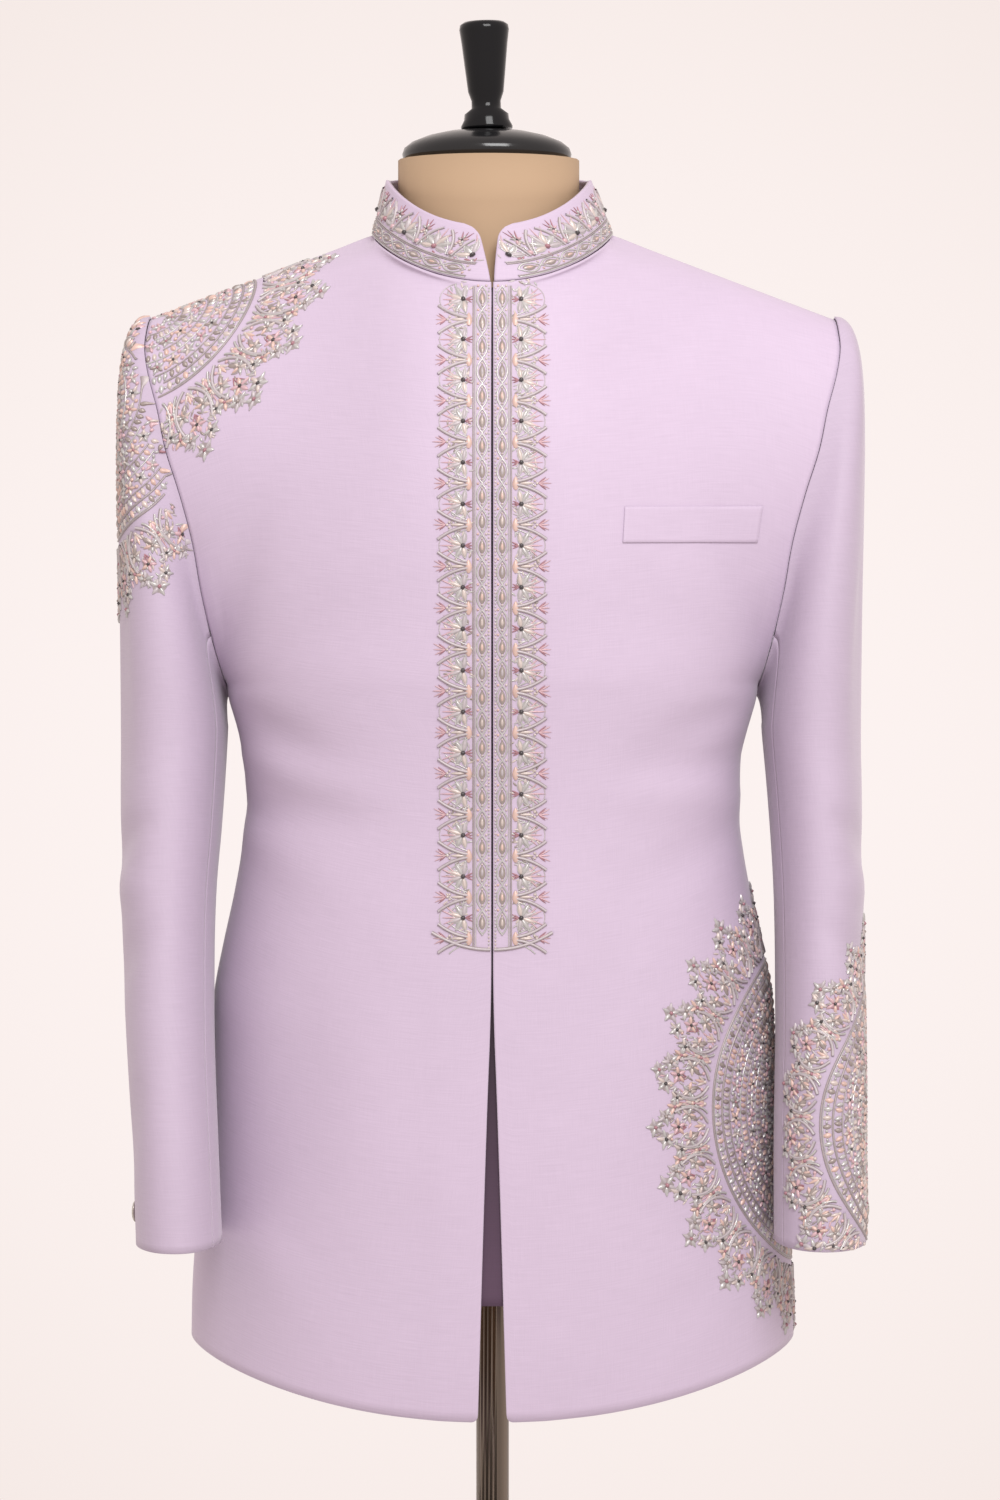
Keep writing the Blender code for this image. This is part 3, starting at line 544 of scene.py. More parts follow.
def new_object(name, points, faces, looks, tones=None, weave=None, sharp=None):
    mesh = bpy.data.meshes.new(name)
    mesh.from_pydata(points, [], faces)
    mesh.update()
    for look in looks:
        mesh.materials.append(look)
    if tones is not None:
        mesh.polygons.foreach_set("material_index", np.asarray(tones, dtype=np.int32))
    if weave is not None:
        layer = mesh.attributes.new("weave", "FLOAT_VECTOR", "POINT")
        layer.data.foreach_set("vector", np.asarray(weave, dtype=np.float32).ravel())
    mesh.shade_smooth()
    if sharp:
        mesh.set_sharp_from_angle(angle=math.radians(sharp))
    made = bpy.data.objects.new(name, mesh)
    bpy.context.scene.collection.objects.link(made)
    return made


def shell(name, outer, thickness, looks, inner_ways=None, flat=None, open_edges=("bottom",)):
    """A closed thin wall whose rim is rounded over from the outer face to the inner one."""
    ways = normals(outer) if inner_ways is None else inner_ways
    inner = outer - ways * thickness
    middle = outer - ways * thickness * 0.45
    turned = pull_edge(outer, EDGE_TURN, ("first", "last", "bottom", "top"))
    turned = turned - 0.0
    rows, columns = outer.shape[:2]
    count = rows * columns
    flat = flat_of(outer) if flat is None else flat
    weave = np.concatenate((flat.reshape(-1, 2), np.zeros((count, 1))), axis=1)
    points = [turned.reshape(-1, 3), inner.reshape(-1, 3)]
    number = np.arange(count).reshape(rows, columns)
    a, b, c, d = number[:-1, :-1], number[:-1, 1:], number[1:, 1:], number[1:, :-1]
    front = np.stack((a, b, c, d), axis=2).reshape(-1, 4)
    back = np.stack((d, c, b, a), axis=2).reshape(-1, 4) + count
    loop = list(number[0, :]) + list(number[1:, -1]) + list(number[-1, -2::-1]) + list(number[-2:0:-1, 0])
    loop = np.array(loop)
    rim = 2 * count + np.arange(len(loop))
    points.append(middle.reshape(-1, 3)[loop])
    after = np.roll(np.arange(len(loop)), -1)
    upper = np.stack((rim, rim[after], loop[after], loop), axis=1)
    lower = np.stack((loop + count, loop[after] + count, rim[after], rim), axis=1)
    faces = np.concatenate((front, back, upper, lower)).tolist()
    weave = np.concatenate((weave, weave, weave[loop]))
    made = new_object(name, np.concatenate(points).tolist(), faces, looks, weave=weave)
    return made


class Chart:
    """Takes flat marks (along, up, lift) to a curved surface."""

    def __init__(self, grid, flat, lift_ways=None):
        rows, columns = grid.shape[:2]
        self.points = grid.reshape(-1, 3)
        self.ways = (normals(grid) if lift_ways is None else lift_ways).reshape(-1, 3)
        self.flat = flat.reshape(-1, 2)
        number = np.arange(rows * columns).reshape(rows, columns)
        a, b, c, d = number[:-1, :-1], number[:-1, 1:], number[1:, 1:], number[1:, :-1]
        self.corners = np.concatenate((np.stack((a, b, c), axis=2).reshape(-1, 3),
                                       np.stack((a, c, d), axis=2).reshape(-1, 3)))
        level = np.concatenate((self.flat, np.zeros((len(self.flat), 1))), axis=1)
        self.tree = BVHTree.FromPolygons(level.tolist(), self.corners.tolist())

    def place(self, marks):
        """World points of the marks, and how far each one lies outside the chart."""
        faces = np.zeros(len(marks), dtype=int)
        spots = np.zeros((len(marks), 2))
        away = np.zeros(len(marks))
        for number, (s, t, _) in enumerate(marks):
            spot, _, face, distance = self.tree.find_nearest((s, t, 0.0))
            faces[number] = face
            spots[number] = spot[0], spot[1]
            away[number] = distance
        corner = self.corners[faces]
        p, q, r = (self.flat[corner[:, k]] for k in range(3))
        area = (q[:, 0] - p[:, 0]) * (r[:, 1] - p[:, 1]) - (q[:, 1] - p[:, 1]) * (r[:, 0] - p[:, 0])
        area = np.where(np.abs(area) < 1e-14, 1e-14, area)
        v = ((spots[:, 0] - p[:, 0]) * (r[:, 1] - p[:, 1])
             - (spots[:, 1] - p[:, 1]) * (r[:, 0] - p[:, 0])) / area
        w = ((q[:, 0] - p[:, 0]) * (spots[:, 1] - p[:, 1])
             - (q[:, 1] - p[:, 1]) * (spots[:, 0] - p[:, 0])) / area
        u = 1 - v - w
        shares = np.stack((u, v, w), axis=1)[:, :, None]
        spot = (self.points[corner] * shares).sum(axis=1)
        way = (self.ways[corner] * shares).sum(axis=1)
        way /= np.linalg.norm(way, axis=1, keepdims=True)
        return spot + way * marks[:, 2:3], away


# Tones of the beadwork; the dark cord tone is real dark thread, and also painted shade under florets and couched
# threads
SILVER, CREAM, GREIGE, PEACH, PINK, ROSE, STONE, CORD_AND_SHADE, PALE = range(9)


class Beadwork:
    """Beads, petals and threads laid out flat as (along, up, lift)."""

    BALL = None

    def __init__(self):
        self.marks = []
        self.faces = []
        self.tones = []
        self.owners = []
        self.count = 0
        self.items = 0

    def add(self, marks, faces, tone):
        marks = np.asarray(marks, dtype=float)
        faces = np.asarray(faces)
        self.marks.append(marks)
        self.faces.append(faces + self.count)
        self.tones.append(np.full(len(faces), tone))
        self.owners.append(np.full(len(marks), self.items))
        self.count += len(marks)
        self.items += 1

    def bead(self, s, t, radius, tone, squash=0.8):
        """A low ball: two rings and a crown."""
        steps = 6
        turn = rng.uniform(0, 1)
        marks = []
        for reach, lift in ((0.95, 0.15), (0.80, 0.95)):
            for step in range(steps):
                angle = 2 * math.pi * (step + turn) / steps
                marks.append((s + radius * reach * math.cos(angle), t + radius * reach * math.sin(angle),
                              radius * squash * lift))
        marks.append((s, t, radius * squash * 1.45))
        faces = []
        for step in range(steps):
            after = (step + 1) % steps
            faces.append((step, after, after + steps))
            faces.append((step, after + steps, step + steps))
            faces.append((step + steps, after + steps, 2 * steps))
        self.add(marks, faces, tone)

    def petal(self, s, t, angle, length, width, tone, rise=0.0012, bend=0.0):
        """A puffed lens from its root, pointing along the angle (0 is up, turning to +s)."""
        stations = 5
        across = (-1.0, -0.6, 0.0, 0.6, 1.0)
        marks = []
        for station in range(stations + 1):
            part = station / stations
            half = width / 2 * math.sin(math.pi * (0.06 + 0.90 * part) ** 0.85) ** 0.75
            side = bend * length * part * part
            for place in across:
                x = place * half + side
                y = length * part
                lift = rise * (1 - place * place) * math.sin(math.pi * (0.08 + 0.84 * part)) ** 0.6 + 0.0001
                marks.append((s + x * math.cos(angle) + y * math.sin(angle),
                              t - x * math.sin(angle) + y * math.cos(angle), lift))
        faces = []
        wide = len(across)
        for station in range(stations):
            for place in range(wide - 1):
                a = station * wide + place
                faces.append((a, a + 1, a + wide + 1))
                faces.append((a, a + wide + 1, a + wide))
        self.add(marks, faces, tone)

    def thread(self, path, radius, tone, lift=0.0):
        """A sewn thread along a flat path, cut where the path leaves the cloth."""
        path = np.asarray(path, dtype=float)
        piece = 6
        for first in range(0, len(path) - 1, piece):
            self.rod(path[first:first + piece + 1], radius, tone, lift)

    def rod(self, path, radius, tone, lift):
        if len(path) < 2:
            return
        way = np.gradient(path, axis=0)
        way /= np.linalg.norm(way, axis=1, keepdims=True) + 1e-12
        side = np.stack((way[:, 1], -way[:, 0]), axis=1)
        marks = []
        profile = ((-1.0, 0.05), (-0.7, 0.9), (0.0, 1.3), (0.7, 0.9), (1.0, 0.05))
        for spot, across in zip(path, side):
            for place, high in profile:
                x, y = spot + across * radius * place
                marks.append((x, y, radius * high + lift))
        wide = len(profile)
        faces = []
        for station in range(len(path) - 1):
            for place in range(wide - 1):
                a = station * wide + place
                faces.append((a, a + wide + 1, a + 1))
                faces.append((a, a + wide, a + wide + 1))
        self.add(marks, faces, tone)

    def set_on(self, chart, name, looks):
        """Set the marks on the cloth, without those that would hang over its edge."""
        marks = np.concatenate(self.marks)
        faces = np.concatenate(self.faces)
        tones = np.concatenate(self.tones)
        owners = np.concatenate(self.owners)
        spots, away = chart.place(marks)
        lost = np.zeros(self.items, dtype=bool)
        np.logical_or.at(lost, owners, away > 0.0004)
        keep = ~lost[owners[faces[:, 0]]]
        faces, tones = faces[keep], tones[keep]
        used, inverse = np.unique(faces, return_inverse=True)
        made = new_object(name, spots[used].tolist(), inverse.reshape(faces.shape).tolist(), looks, tones)
        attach(made, "root")
        return made


def petal_edge(work, s, t, angle, length, width, tone):
    """Two fine threads round a petal."""
    for side in (-1, 1):
        part = np.linspace(0, 1, 7)
        across = side * width / 2 * np.sin(np.pi * part ** 0.85) ** 0.8
        along = length * part * 1.04
        path = np.stack((s + across * math.cos(angle) + along * math.sin(angle),
                         t - across * math.sin(angle) + along * math.cos(angle)), axis=1)
        work.thread(path, 0.00034, tone, 0.0001)


def flower(work, s, t, angle, size, tones, petals=5, spread=1.35, heart=STONE, heart_size=0.16):
    """A fan of edged petals round a stone."""
    for number in range(petals):
        part = number / (petals - 1) * 2 - 1
        turn = angle + part * spread
        long = size * (1.0 - 0.14 * abs(part)) * rng.uniform(0.92, 1.08)
        tone = tones[number % len(tones)]
        root_s = s + 0.10 * size * math.sin(turn)
        root_t = t + 0.10 * size * math.cos(turn)
        work.petal(root_s, root_t, turn, long * 0.86, size * 0.30, tone, rise=0.0013)
        petal_edge(work, root_s, root_t, turn, long * 0.88, size * 0.32, SILVER)
        work.bead(s + long * math.sin(turn), t + long * math.cos(turn), 0.0007, SILVER)
    work.bead(s, t, size * heart_size, heart, squash=1.0)


def strokes(work, s, t, angle, length, tone, turns=(-0.45, 0.0, 0.45)):
    """Fine single stitches fanning from a point."""
    for turn in turns:
        work.petal(s, t, angle + turn, length * rng.uniform(0.85, 1.1), 0.0011, tone, rise=0.0007)


def bud(work, s, t, angle, size, tone, tip):
    for turn, long in ((-0.5, 0.8), (0.0, 1.0), (0.5, 0.8)):
        work.petal(s, t, angle + turn, size * long, size * 0.28, tone if turn else tip, rise=0.0010)
    work.bead(s, t, size * 0.16, CREAM)


def curve(start, control, end, steps=9):
    t = np.linspace(0, 1, steps)[:, None]
    start, control, end = (np.array(p, dtype=float) for p in (start, control, end))
    return (1 - t) ** 2 * start + 2 * t * (1 - t) * control + t * t * end



def floret(work, s, t, angle, size, tones, heart):
    """Five petals round a bead, on a flat dark disc of painted shade."""
    # flat dark disc under the petals: painted shade between the beadwork
    work.bead(s, t, size * 0.78, CORD_AND_SHADE, squash=0.07)
    for number in range(5):
        turn = angle + number * 2 * math.pi / 5
        work.petal(s + 0.12 * size * math.sin(turn), t + 0.12 * size * math.cos(turn), turn,
                   size * rng.uniform(0.82, 0.98), size * 0.44, tones[number % len(tones)], rise=0.0014)
    work.bead(s, t, size * 0.22, heart, squash=1.1)


def cord_with_painted_shadow(work, path, radius, tone):
    """A thread laid on a wider dark thread, which is painted shadow."""
    # the wider dark thread beneath is painted shadow along the cord
    work.thread(path, radius * 1.35, CORD_AND_SHADE, -0.0002)
    work.thread(path, radius, tone, 0.0004)


MIDDLE_TONES = ((SILVER, CREAM), (PEACH, CREAM), (SILVER, GREIGE), (PINK, SILVER))
# Flowers crowded on one scallop: part of the depth, aside in sectors, size, lean, tones, stone
CLUMP = (
    (0.90, 0.03, 0.0066, 0.1, (SILVER, PALE), ROSE),
    (0.77, -0.19, 0.0062, -0.8, (SILVER, CREAM), STONE),
    (0.73, 0.22, 0.0062, 0.9, (PALE, SILVER), GREIGE),
    (0.58, 0.02, 0.0060, 0.0, (PINK, PEACH), STONE),
    (0.62, 0.40, 0.0056, 0.6, (PEACH, SILVER), ROSE),
    (0.56, -0.42, 0.0056, -0.5, (SILVER, CREAM), STONE),
    (0.30, 0.50, 0.0058, 0.0, (CREAM, SILVER), ROSE),
)


def medallion(work, centre, ring, reach, sectors):
    """A round of beadwork: a packed middle, a ring band between two cords, and a lace edge."""
    middle_s, middle_t = centre
    depth = reach - ring
    pitch = 2 * math.pi / sectors

    def at(distance, angle):
        return middle_s + distance * math.sin(angle), middle_t + distance * math.cos(angle)

    def arc(distance, radius, tone, lift=0.0):
        steps = int(2 * math.pi * distance / 0.0024)
        angles = np.linspace(0, 2 * math.pi, steps + 1)
        path = np.stack((middle_s + distance * np.sin(angles), middle_t + distance * np.cos(angles)), axis=1)
        work.thread(path, radius, tone, lift)

    band = 0.0080
    distance = ring - band - 0.0010
    row = 0
    while distance > 0.012:
        if row % 2:
            distance -= 0.0052
            count = max(6, int(2 * math.pi * distance / 0.0104))
            for number in range(count):
                angle = 2 * math.pi * (number + 0.25 * row) / count
                floret(work, *at(distance, angle), rng.uniform(0, 6), 0.0050, MIDDLE_TONES[(number + row) % 4],
                       (STONE, ROSE, CREAM)[number % 3])
                for far in (-0.0030, 0.0030):
                    work.bead(*at(distance + far, angle + math.pi / count), 0.0014, (PEACH, SILVER, PINK)[number % 3])
            distance -= 0.0056
            arc(distance + 0.0004, 0.0006, SILVER)
        else:
            count = int(2 * math.pi * distance / 0.0044)
            for number in range(count):
                angle = 2 * math.pi * number / count
                work.petal(*at(distance - 0.0050, angle), angle + rng.uniform(-0.25, 0.25), 0.0050,
                           0.0032, (CREAM, PEACH, SILVER, GREIGE)[int(rng.integers(0, 4))], rise=0.0015)
            arc(distance - 0.0056, 0.0006, CORD_AND_SHADE)
            distance -= 0.0060
        row += 1
    arc(ring - band, 0.0008, CORD_AND_SHADE)
    arc(ring, 0.0008, CORD_AND_SHADE)
    arc(ring - 0.0014, 0.0004, SILVER)
    count = int(2 * math.pi * ring / 0.0058)
    for number in range(count):
        angle = 2 * math.pi * number / count
        work.petal(*at(ring - band + 0.0012, angle), angle, 0.0054, 0.0034,
                   (GREIGE, CREAM, SILVER, PEACH)[number % 4], rise=0.0012)
        work.bead(*at(ring - band / 2, angle + math.pi / count), 0.0010, SILVER)

    fill = 0.0034
    for row in range(int(0.78 * depth / fill)):
        far = ring + 0.0075 + row * fill
        part = (far - ring) / depth
        count = int(2 * math.pi * far / 0.0046)
        for number in range(count):
            angle = 2 * math.pi * (number + 0.5 * (row % 2)) / count
            phase = abs(((angle / pitch) + 0.5) % 1.0 - 0.5) * 2
            if part > 0.86 - 0.24 * phase ** 1.3 or rng.uniform() < 0.22:
                continue
            tone = (PALE, GREIGE, SILVER, CORD_AND_SHADE, CREAM, PINK)[int(rng.integers(0, 6))]
            work.petal(*at(far, angle), angle + rng.uniform(-0.9, 0.9), rng.uniform(0.0034, 0.0052),
                       0.0014, tone, rise=0.0007)

    for number in range(sectors):
        angle = pitch * number
        near = ring + 0.10 * depth
        for side in (-1, 1):
            cord_with_painted_shadow(work, curve(at(near, angle + side * pitch * 0.08),
                             at(ring + 0.30 * depth, angle + side * pitch * 0.60),
                             at(ring + 0.62 * depth, angle + side * pitch * 0.30)), 0.0009, PALE)
            cord_with_painted_shadow(work, curve(at(near, angle + side * pitch * 0.30),
                             at(ring + 0.22 * depth, angle + side * pitch * 0.52),
                             at(ring + 0.52 * depth, angle + side * pitch * 0.40)), 0.0007, SILVER)
            work.petal(*at(ring + 0.26 * depth, angle + side * pitch * 0.14), angle + side * 0.5,
                       0.0080, 0.0034, GREIGE, rise=0.0015)
            floret(work, *at(ring + 0.40 * depth, angle + side * pitch * 0.25), angle + side * 0.8, 0.0056,
                   (CREAM, SILVER, PEACH), GREIGE)
            work.bead(*at(ring + 0.20 * depth, angle + side * pitch * 0.18), 0.0013, PINK)
            work.bead(*at(ring + 0.68 * depth, angle + side * pitch * 0.20), 0.0011, PEACH)
        strokes(work, *at(ring + 0.44 * depth, angle), angle, 0.0100, ROSE)
        bud(work, *at(ring + 0.16 * depth, angle), angle, 0.0080, CREAM, PEACH)
        for far, aside, size, turn, tones, heart in CLUMP:
            leaning = turn + rng.uniform(-0.35, 0.35)
            spot = at(ring + (far + rng.uniform(-0.025, 0.025)) * depth, angle + aside * pitch)
            floret(work, *spot, angle + leaning, size * rng.uniform(0.90, 1.12), tones, heart)
        for aside, far in ((-0.30, 0.60), (-0.20, 0.78), (0.22, 0.76), (0.31, 0.62)):
            tip = angle + math.copysign(0.9, aside)
            for lean in (-0.35, 0.35):
                work.petal(*at(ring + far * depth, angle + aside * pitch * 0.7), tip + lean, 0.0052, 0.0020,
                           (SILVER, PALE)[lean > 0], rise=0.0010)
        between = angle + pitch / 2
        bud(work, *at(ring + 0.14 * depth, between), between, 0.0085, PEACH, PINK)
        strokes(work, *at(ring + 0.36 * depth, between), between, 0.0100, PINK)
        work.bead(*at(ring + 0.34 * depth, between), 0.0015, PEACH)


PLACKET_TOP = 0.9455
PLACKET_END = 0.5215
CHAIN_AT = 0.0064
CHAIN_PITCH = 0.0160
FLOWER_PITCH = 0.0264


def chain_link(work, s, t, turned, tone):
    """An oval in a diamond of threads; turned lays it along the cloth."""
    def at(along, across):
        return (s + along, t + across) if turned else (s + across, t + along)

    half = CHAIN_PITCH / 2
    way = math.pi / 2 if turned else 0.0
    work.petal(*at(-0.0042, 0.0), way, 0.0084, 0.0044, GREIGE, rise=0.0010)
    work.petal(*at(-0.0026, 0.0), way, 0.0052, 0.0024, tone, rise=0.0016)
    for side in (-1, 1):
        work.thread([at(along * half, side * 0.0036 * (1 - abs(along) ** 2.2) - side * 0.0003)
                     for along in np.linspace(-1, 1, 9)], 0.00062, SILVER)
        work.petal(*at(half - 0.0022 * side, 0.0), way if side < 0 else way + math.pi, 0.0016, 0.0016, CREAM)
        work.bead(*at(half, side * 0.0026), 0.0009, (PEACH, CREAM)[side > 0])


def placket(work, side):
    """Beaded bands down one front edge; side 1 is the wearer's left."""
    def at(x, z):
        return side * x, z

    out = side * math.pi / 2
    for z in np.arange(PLACKET_END, PLACKET_TOP, 0.0022):
        work.bead(*at(0.0021, z), 0.00075, (SILVER, CREAM)[int(rng.integers(0, 2))])
    links = int((PLACKET_TOP - PLACKET_END) / CHAIN_PITCH)
    for number in range(links):
        z = PLACKET_TOP - (number + 0.5) * CHAIN_PITCH
        chain_link(work, *at(CHAIN_AT, z), False, (PEACH, CREAM, PEACH, PALE)[number % 4])
    for x, tone in ((0.0107, PALE), (0.0121, CORD_AND_SHADE)):
        levels = np.linspace(PLACKET_TOP, PLACKET_END, 180)
        path = np.stack((np.full(180, side * x), levels), axis=1)
        work.thread(path, 0.00055, tone)

    flowers = int((PLACKET_TOP - PLACKET_END) / FLOWER_PITCH) + 1
    for number in range(flowers):
        z = PLACKET_TOP - 0.0090 - number * FLOWER_PITCH
        if z > PLACKET_END + 0.004:
            strokes(work, *at(0.0215, z), out, 0.0120, PINK, (-0.75, -0.4, 0.0, 0.4, 0.75))
            flower(work, *at(0.0186, z), out, 0.0100, (CREAM, SILVER, PALE), petals=6, spread=1.75,
                   heart_size=0.17)
            for number_in_ground in range(34):
                along, up = rng.uniform(0.0140, 0.0285), rng.uniform(-0.5, 0.5) * FLOWER_PITCH
                work.petal(*at(along, z + up), rng.uniform(0, 6.3), rng.uniform(0.0030, 0.0044), 0.0013,
                           (PALE, GREIGE, SILVER, CREAM)[number_in_ground % 4], rise=0.0005)
            strokes(work, *at(0.0172, z), -out, 0.0050, ROSE)
            for way in (-1, 1):
                arch = np.linspace(-1.35, 1.35, 12) * way
                path = np.stack((side * (0.0200 + 0.0138 * np.cos(arch)), z + 0.0108 * np.sin(arch)), axis=1)
                if way > 0:
                    work.thread(path, 0.00035, PALE)
        middle = z - FLOWER_PITCH / 2
        if middle < PLACKET_END + 0.004:
            continue
        for way in (-1, 1):
            cord_with_painted_shadow(work, curve(at(0.0150, middle + way * 0.0010), at(0.0255, middle + way * 0.0022),
                             at(0.0345, middle + way * 0.0092), 11), 0.00085, PALE)
            work.thread(curve(at(0.0150, middle + way * 0.0028), at(0.0220, middle + way * 0.0046),
                              at(0.0275, middle + way * 0.0098), 9), 0.00045, SILVER)
        work.petal(*at(0.0150, middle - 0.0042), 0.0, 0.0084, 0.0044, PEACH, rise=0.0016)
        work.petal(*at(0.0180, middle), out, 0.0085, 0.0022, CREAM, rise=0.0010)
        for way in (-1, 0, 1):
            work.bead(*at(0.0272 + 0.0014 * (way == 0), middle + way * 0.0016), 0.0010, CREAM)
        strokes(work, *at(0.0295, middle), out, 0.0080, PINK)
        strokes(work, *at(0.0295, middle), out, 0.0062, ROSE, (-0.7, 0.7))
    end = curve(at(0.0012, PLACKET_END - 0.0012), at(0.0200, PLACKET_END - 0.0014),
                at(0.0385, PLACKET_END + 0.0095), 24)
    cord_with_painted_shadow(work, end, 0.0009, PALE)


def collar_band(work, half):
    """Chain band along the seam with flowers and scallops over it, both ways from the back."""
    low, high = 0.0022, 0.0112
    for t, tone in ((0.0012, SILVER), (low, CORD_AND_SHADE), (high, CORD_AND_SHADE), (high + 0.0012, PALE)):
        path = np.stack((np.linspace(-half + 0.006, half - 0.006, 300), np.full(300, t)), axis=1)
        work.thread(path, 0.00055, tone)
    links = int(2 * (half - 0.008) / CHAIN_PITCH)
    start = -links * CHAIN_PITCH / 2
    for number in range(links):
        chain_link(work, start + (number + 0.5) * CHAIN_PITCH, (low + high) / 2, True,
                   (PEACH, CREAM, PEACH, PALE)[number % 4])
    count = int(2 * (half - 0.012) / 0.0262)
    pitch = (2 * half - 0.025) / count
    for number in range(count + 1):
        s = -half + 0.0125 + number * pitch
        strokes(work, s, 0.0215, 0.0, 0.0130, PINK, (-0.6, 0.0, 0.6))
        flower(work, s, 0.0175, 0.0, 0.0120, (CREAM, SILVER, PALE), petals=6, spread=1.7,
               heart=(STONE, ROSE)[number % 2])
        for leaf in range(26):
            work.petal(s + rng.uniform(-0.5, 0.5) * pitch, rng.uniform(0.0135, 0.0245), rng.uniform(0, 6.3),
                       rng.uniform(0.0030, 0.0046), 0.0013, (PALE, GREIGE, SILVER, ROSE)[leaf % 4], rise=0.0005)
        if number == count:
            continue
        middle = s + pitch / 2
        work.bead(middle, 0.0165, 0.0021, PINK)
        for way in (-1, 1):
            cord_with_painted_shadow(work, curve((middle + way * 0.0012, 0.0142), (middle + way * 0.0030, 0.0255),
                             (middle + way * 0.0108, 0.0325), 9), 0.00080, PALE)
            work.thread(curve((middle + way * 0.0030, 0.0142), (middle + way * 0.0050, 0.0215),
                              (middle + way * 0.0104, 0.0262), 8), 0.00055, SILVER)
        for way in (-1, 0, 1):
            work.bead(middle + way * 0.0017, 0.0235 + 0.0014 * (way == 0), 0.0011, CREAM)
        strokes(work, middle, 0.0262, 0.0, 0.0082, ROSE)
        floret(work, middle, 0.0272, 0.0, 0.0040, (SILVER, PINK), STONE)


def section_flat(grid, middle):
    """Flat places on a sleeve: along its level sections from the middle column, and up."""
    heights = grid[:, :, 2]
    levels = np.arange(heights.min(), heights.max(), 0.004)
    columns = grid.shape[1]
    cuts = np.full((len(levels), columns, 3), np.nan)
    tops = []
    for column in range(columns):
        rising = np.maximum.accumulate(heights[:, column]) + np.arange(len(heights)) * 1e-9
        inside = levels <= rising[-1]
        tops.append(max(1, int(inside.sum())))
        for axis in range(3):
            cuts[inside, column, axis] = np.interp(levels[inside], rising, grid[:, column, axis])
    steps = np.linalg.norm(np.diff(cuts, axis=1), axis=2)
    along = np.zeros((len(levels), columns))
    along[:, middle + 1:] = np.cumsum(steps[:, middle:], axis=1)
    along[:, :middle] = -np.cumsum(steps[:, :middle][:, ::-1], axis=1)[:, ::-1]
    flat = np.zeros(grid.shape[:2] + (2,))
    for column in range(columns):
        top = tops[column]
        flat[:, column, 0] = np.interp(heights[:, column], levels[:top], along[:top, column])
    flat[:, :, 1] = heights
    return flat


def node_value(tree, node, name, value):
    node.inputs[name].default_value = value


def plain_look(name, colour, roughness, metallic=0.0, shine=0.5, grain=0.04, scale=60.0,
               stretch=(1.0, 1.0, 1.0)):
    """A surface with a slight cloudy or streaky change of tone."""
    look = bpy.data.materials.new(name)
    look.use_nodes = True
    tree = look.node_tree
    shader = tree.nodes["Principled BSDF"]
    shader.inputs["Roughness"].default_value = roughness
    shader.inputs["Metallic"].default_value = metallic
    shader.inputs["Specular IOR Level"].default_value = shine
    place = tree.nodes.new("ShaderNodeTexCoord")
    cloud = tree.nodes.new("ShaderNodeTexNoise")
    cloud.inputs["Scale"].default_value = scale
    mapping = tree.nodes.new("ShaderNodeMapping")
    mapping.inputs["Scale"].default_value = stretch
    tree.links.new(place.outputs["Object"], mapping.inputs["Vector"])
    tree.links.new(mapping.outputs["Vector"], cloud.inputs["Vector"])
    tint = tree.nodes.new("ShaderNodeMix")
    tint.data_type = "RGBA"
    tint.inputs["A"].default_value = (*[c * (1 - grain) for c in colour], 1)
    tint.inputs["B"].default_value = (*[min(1, c * (1 + grain)) for c in colour], 1)
    tree.links.new(cloud.outputs["Fac"], tint.inputs["Factor"])
    tree.links.new(tint.outputs["Result"], shader.inputs["Base Color"])
    return look


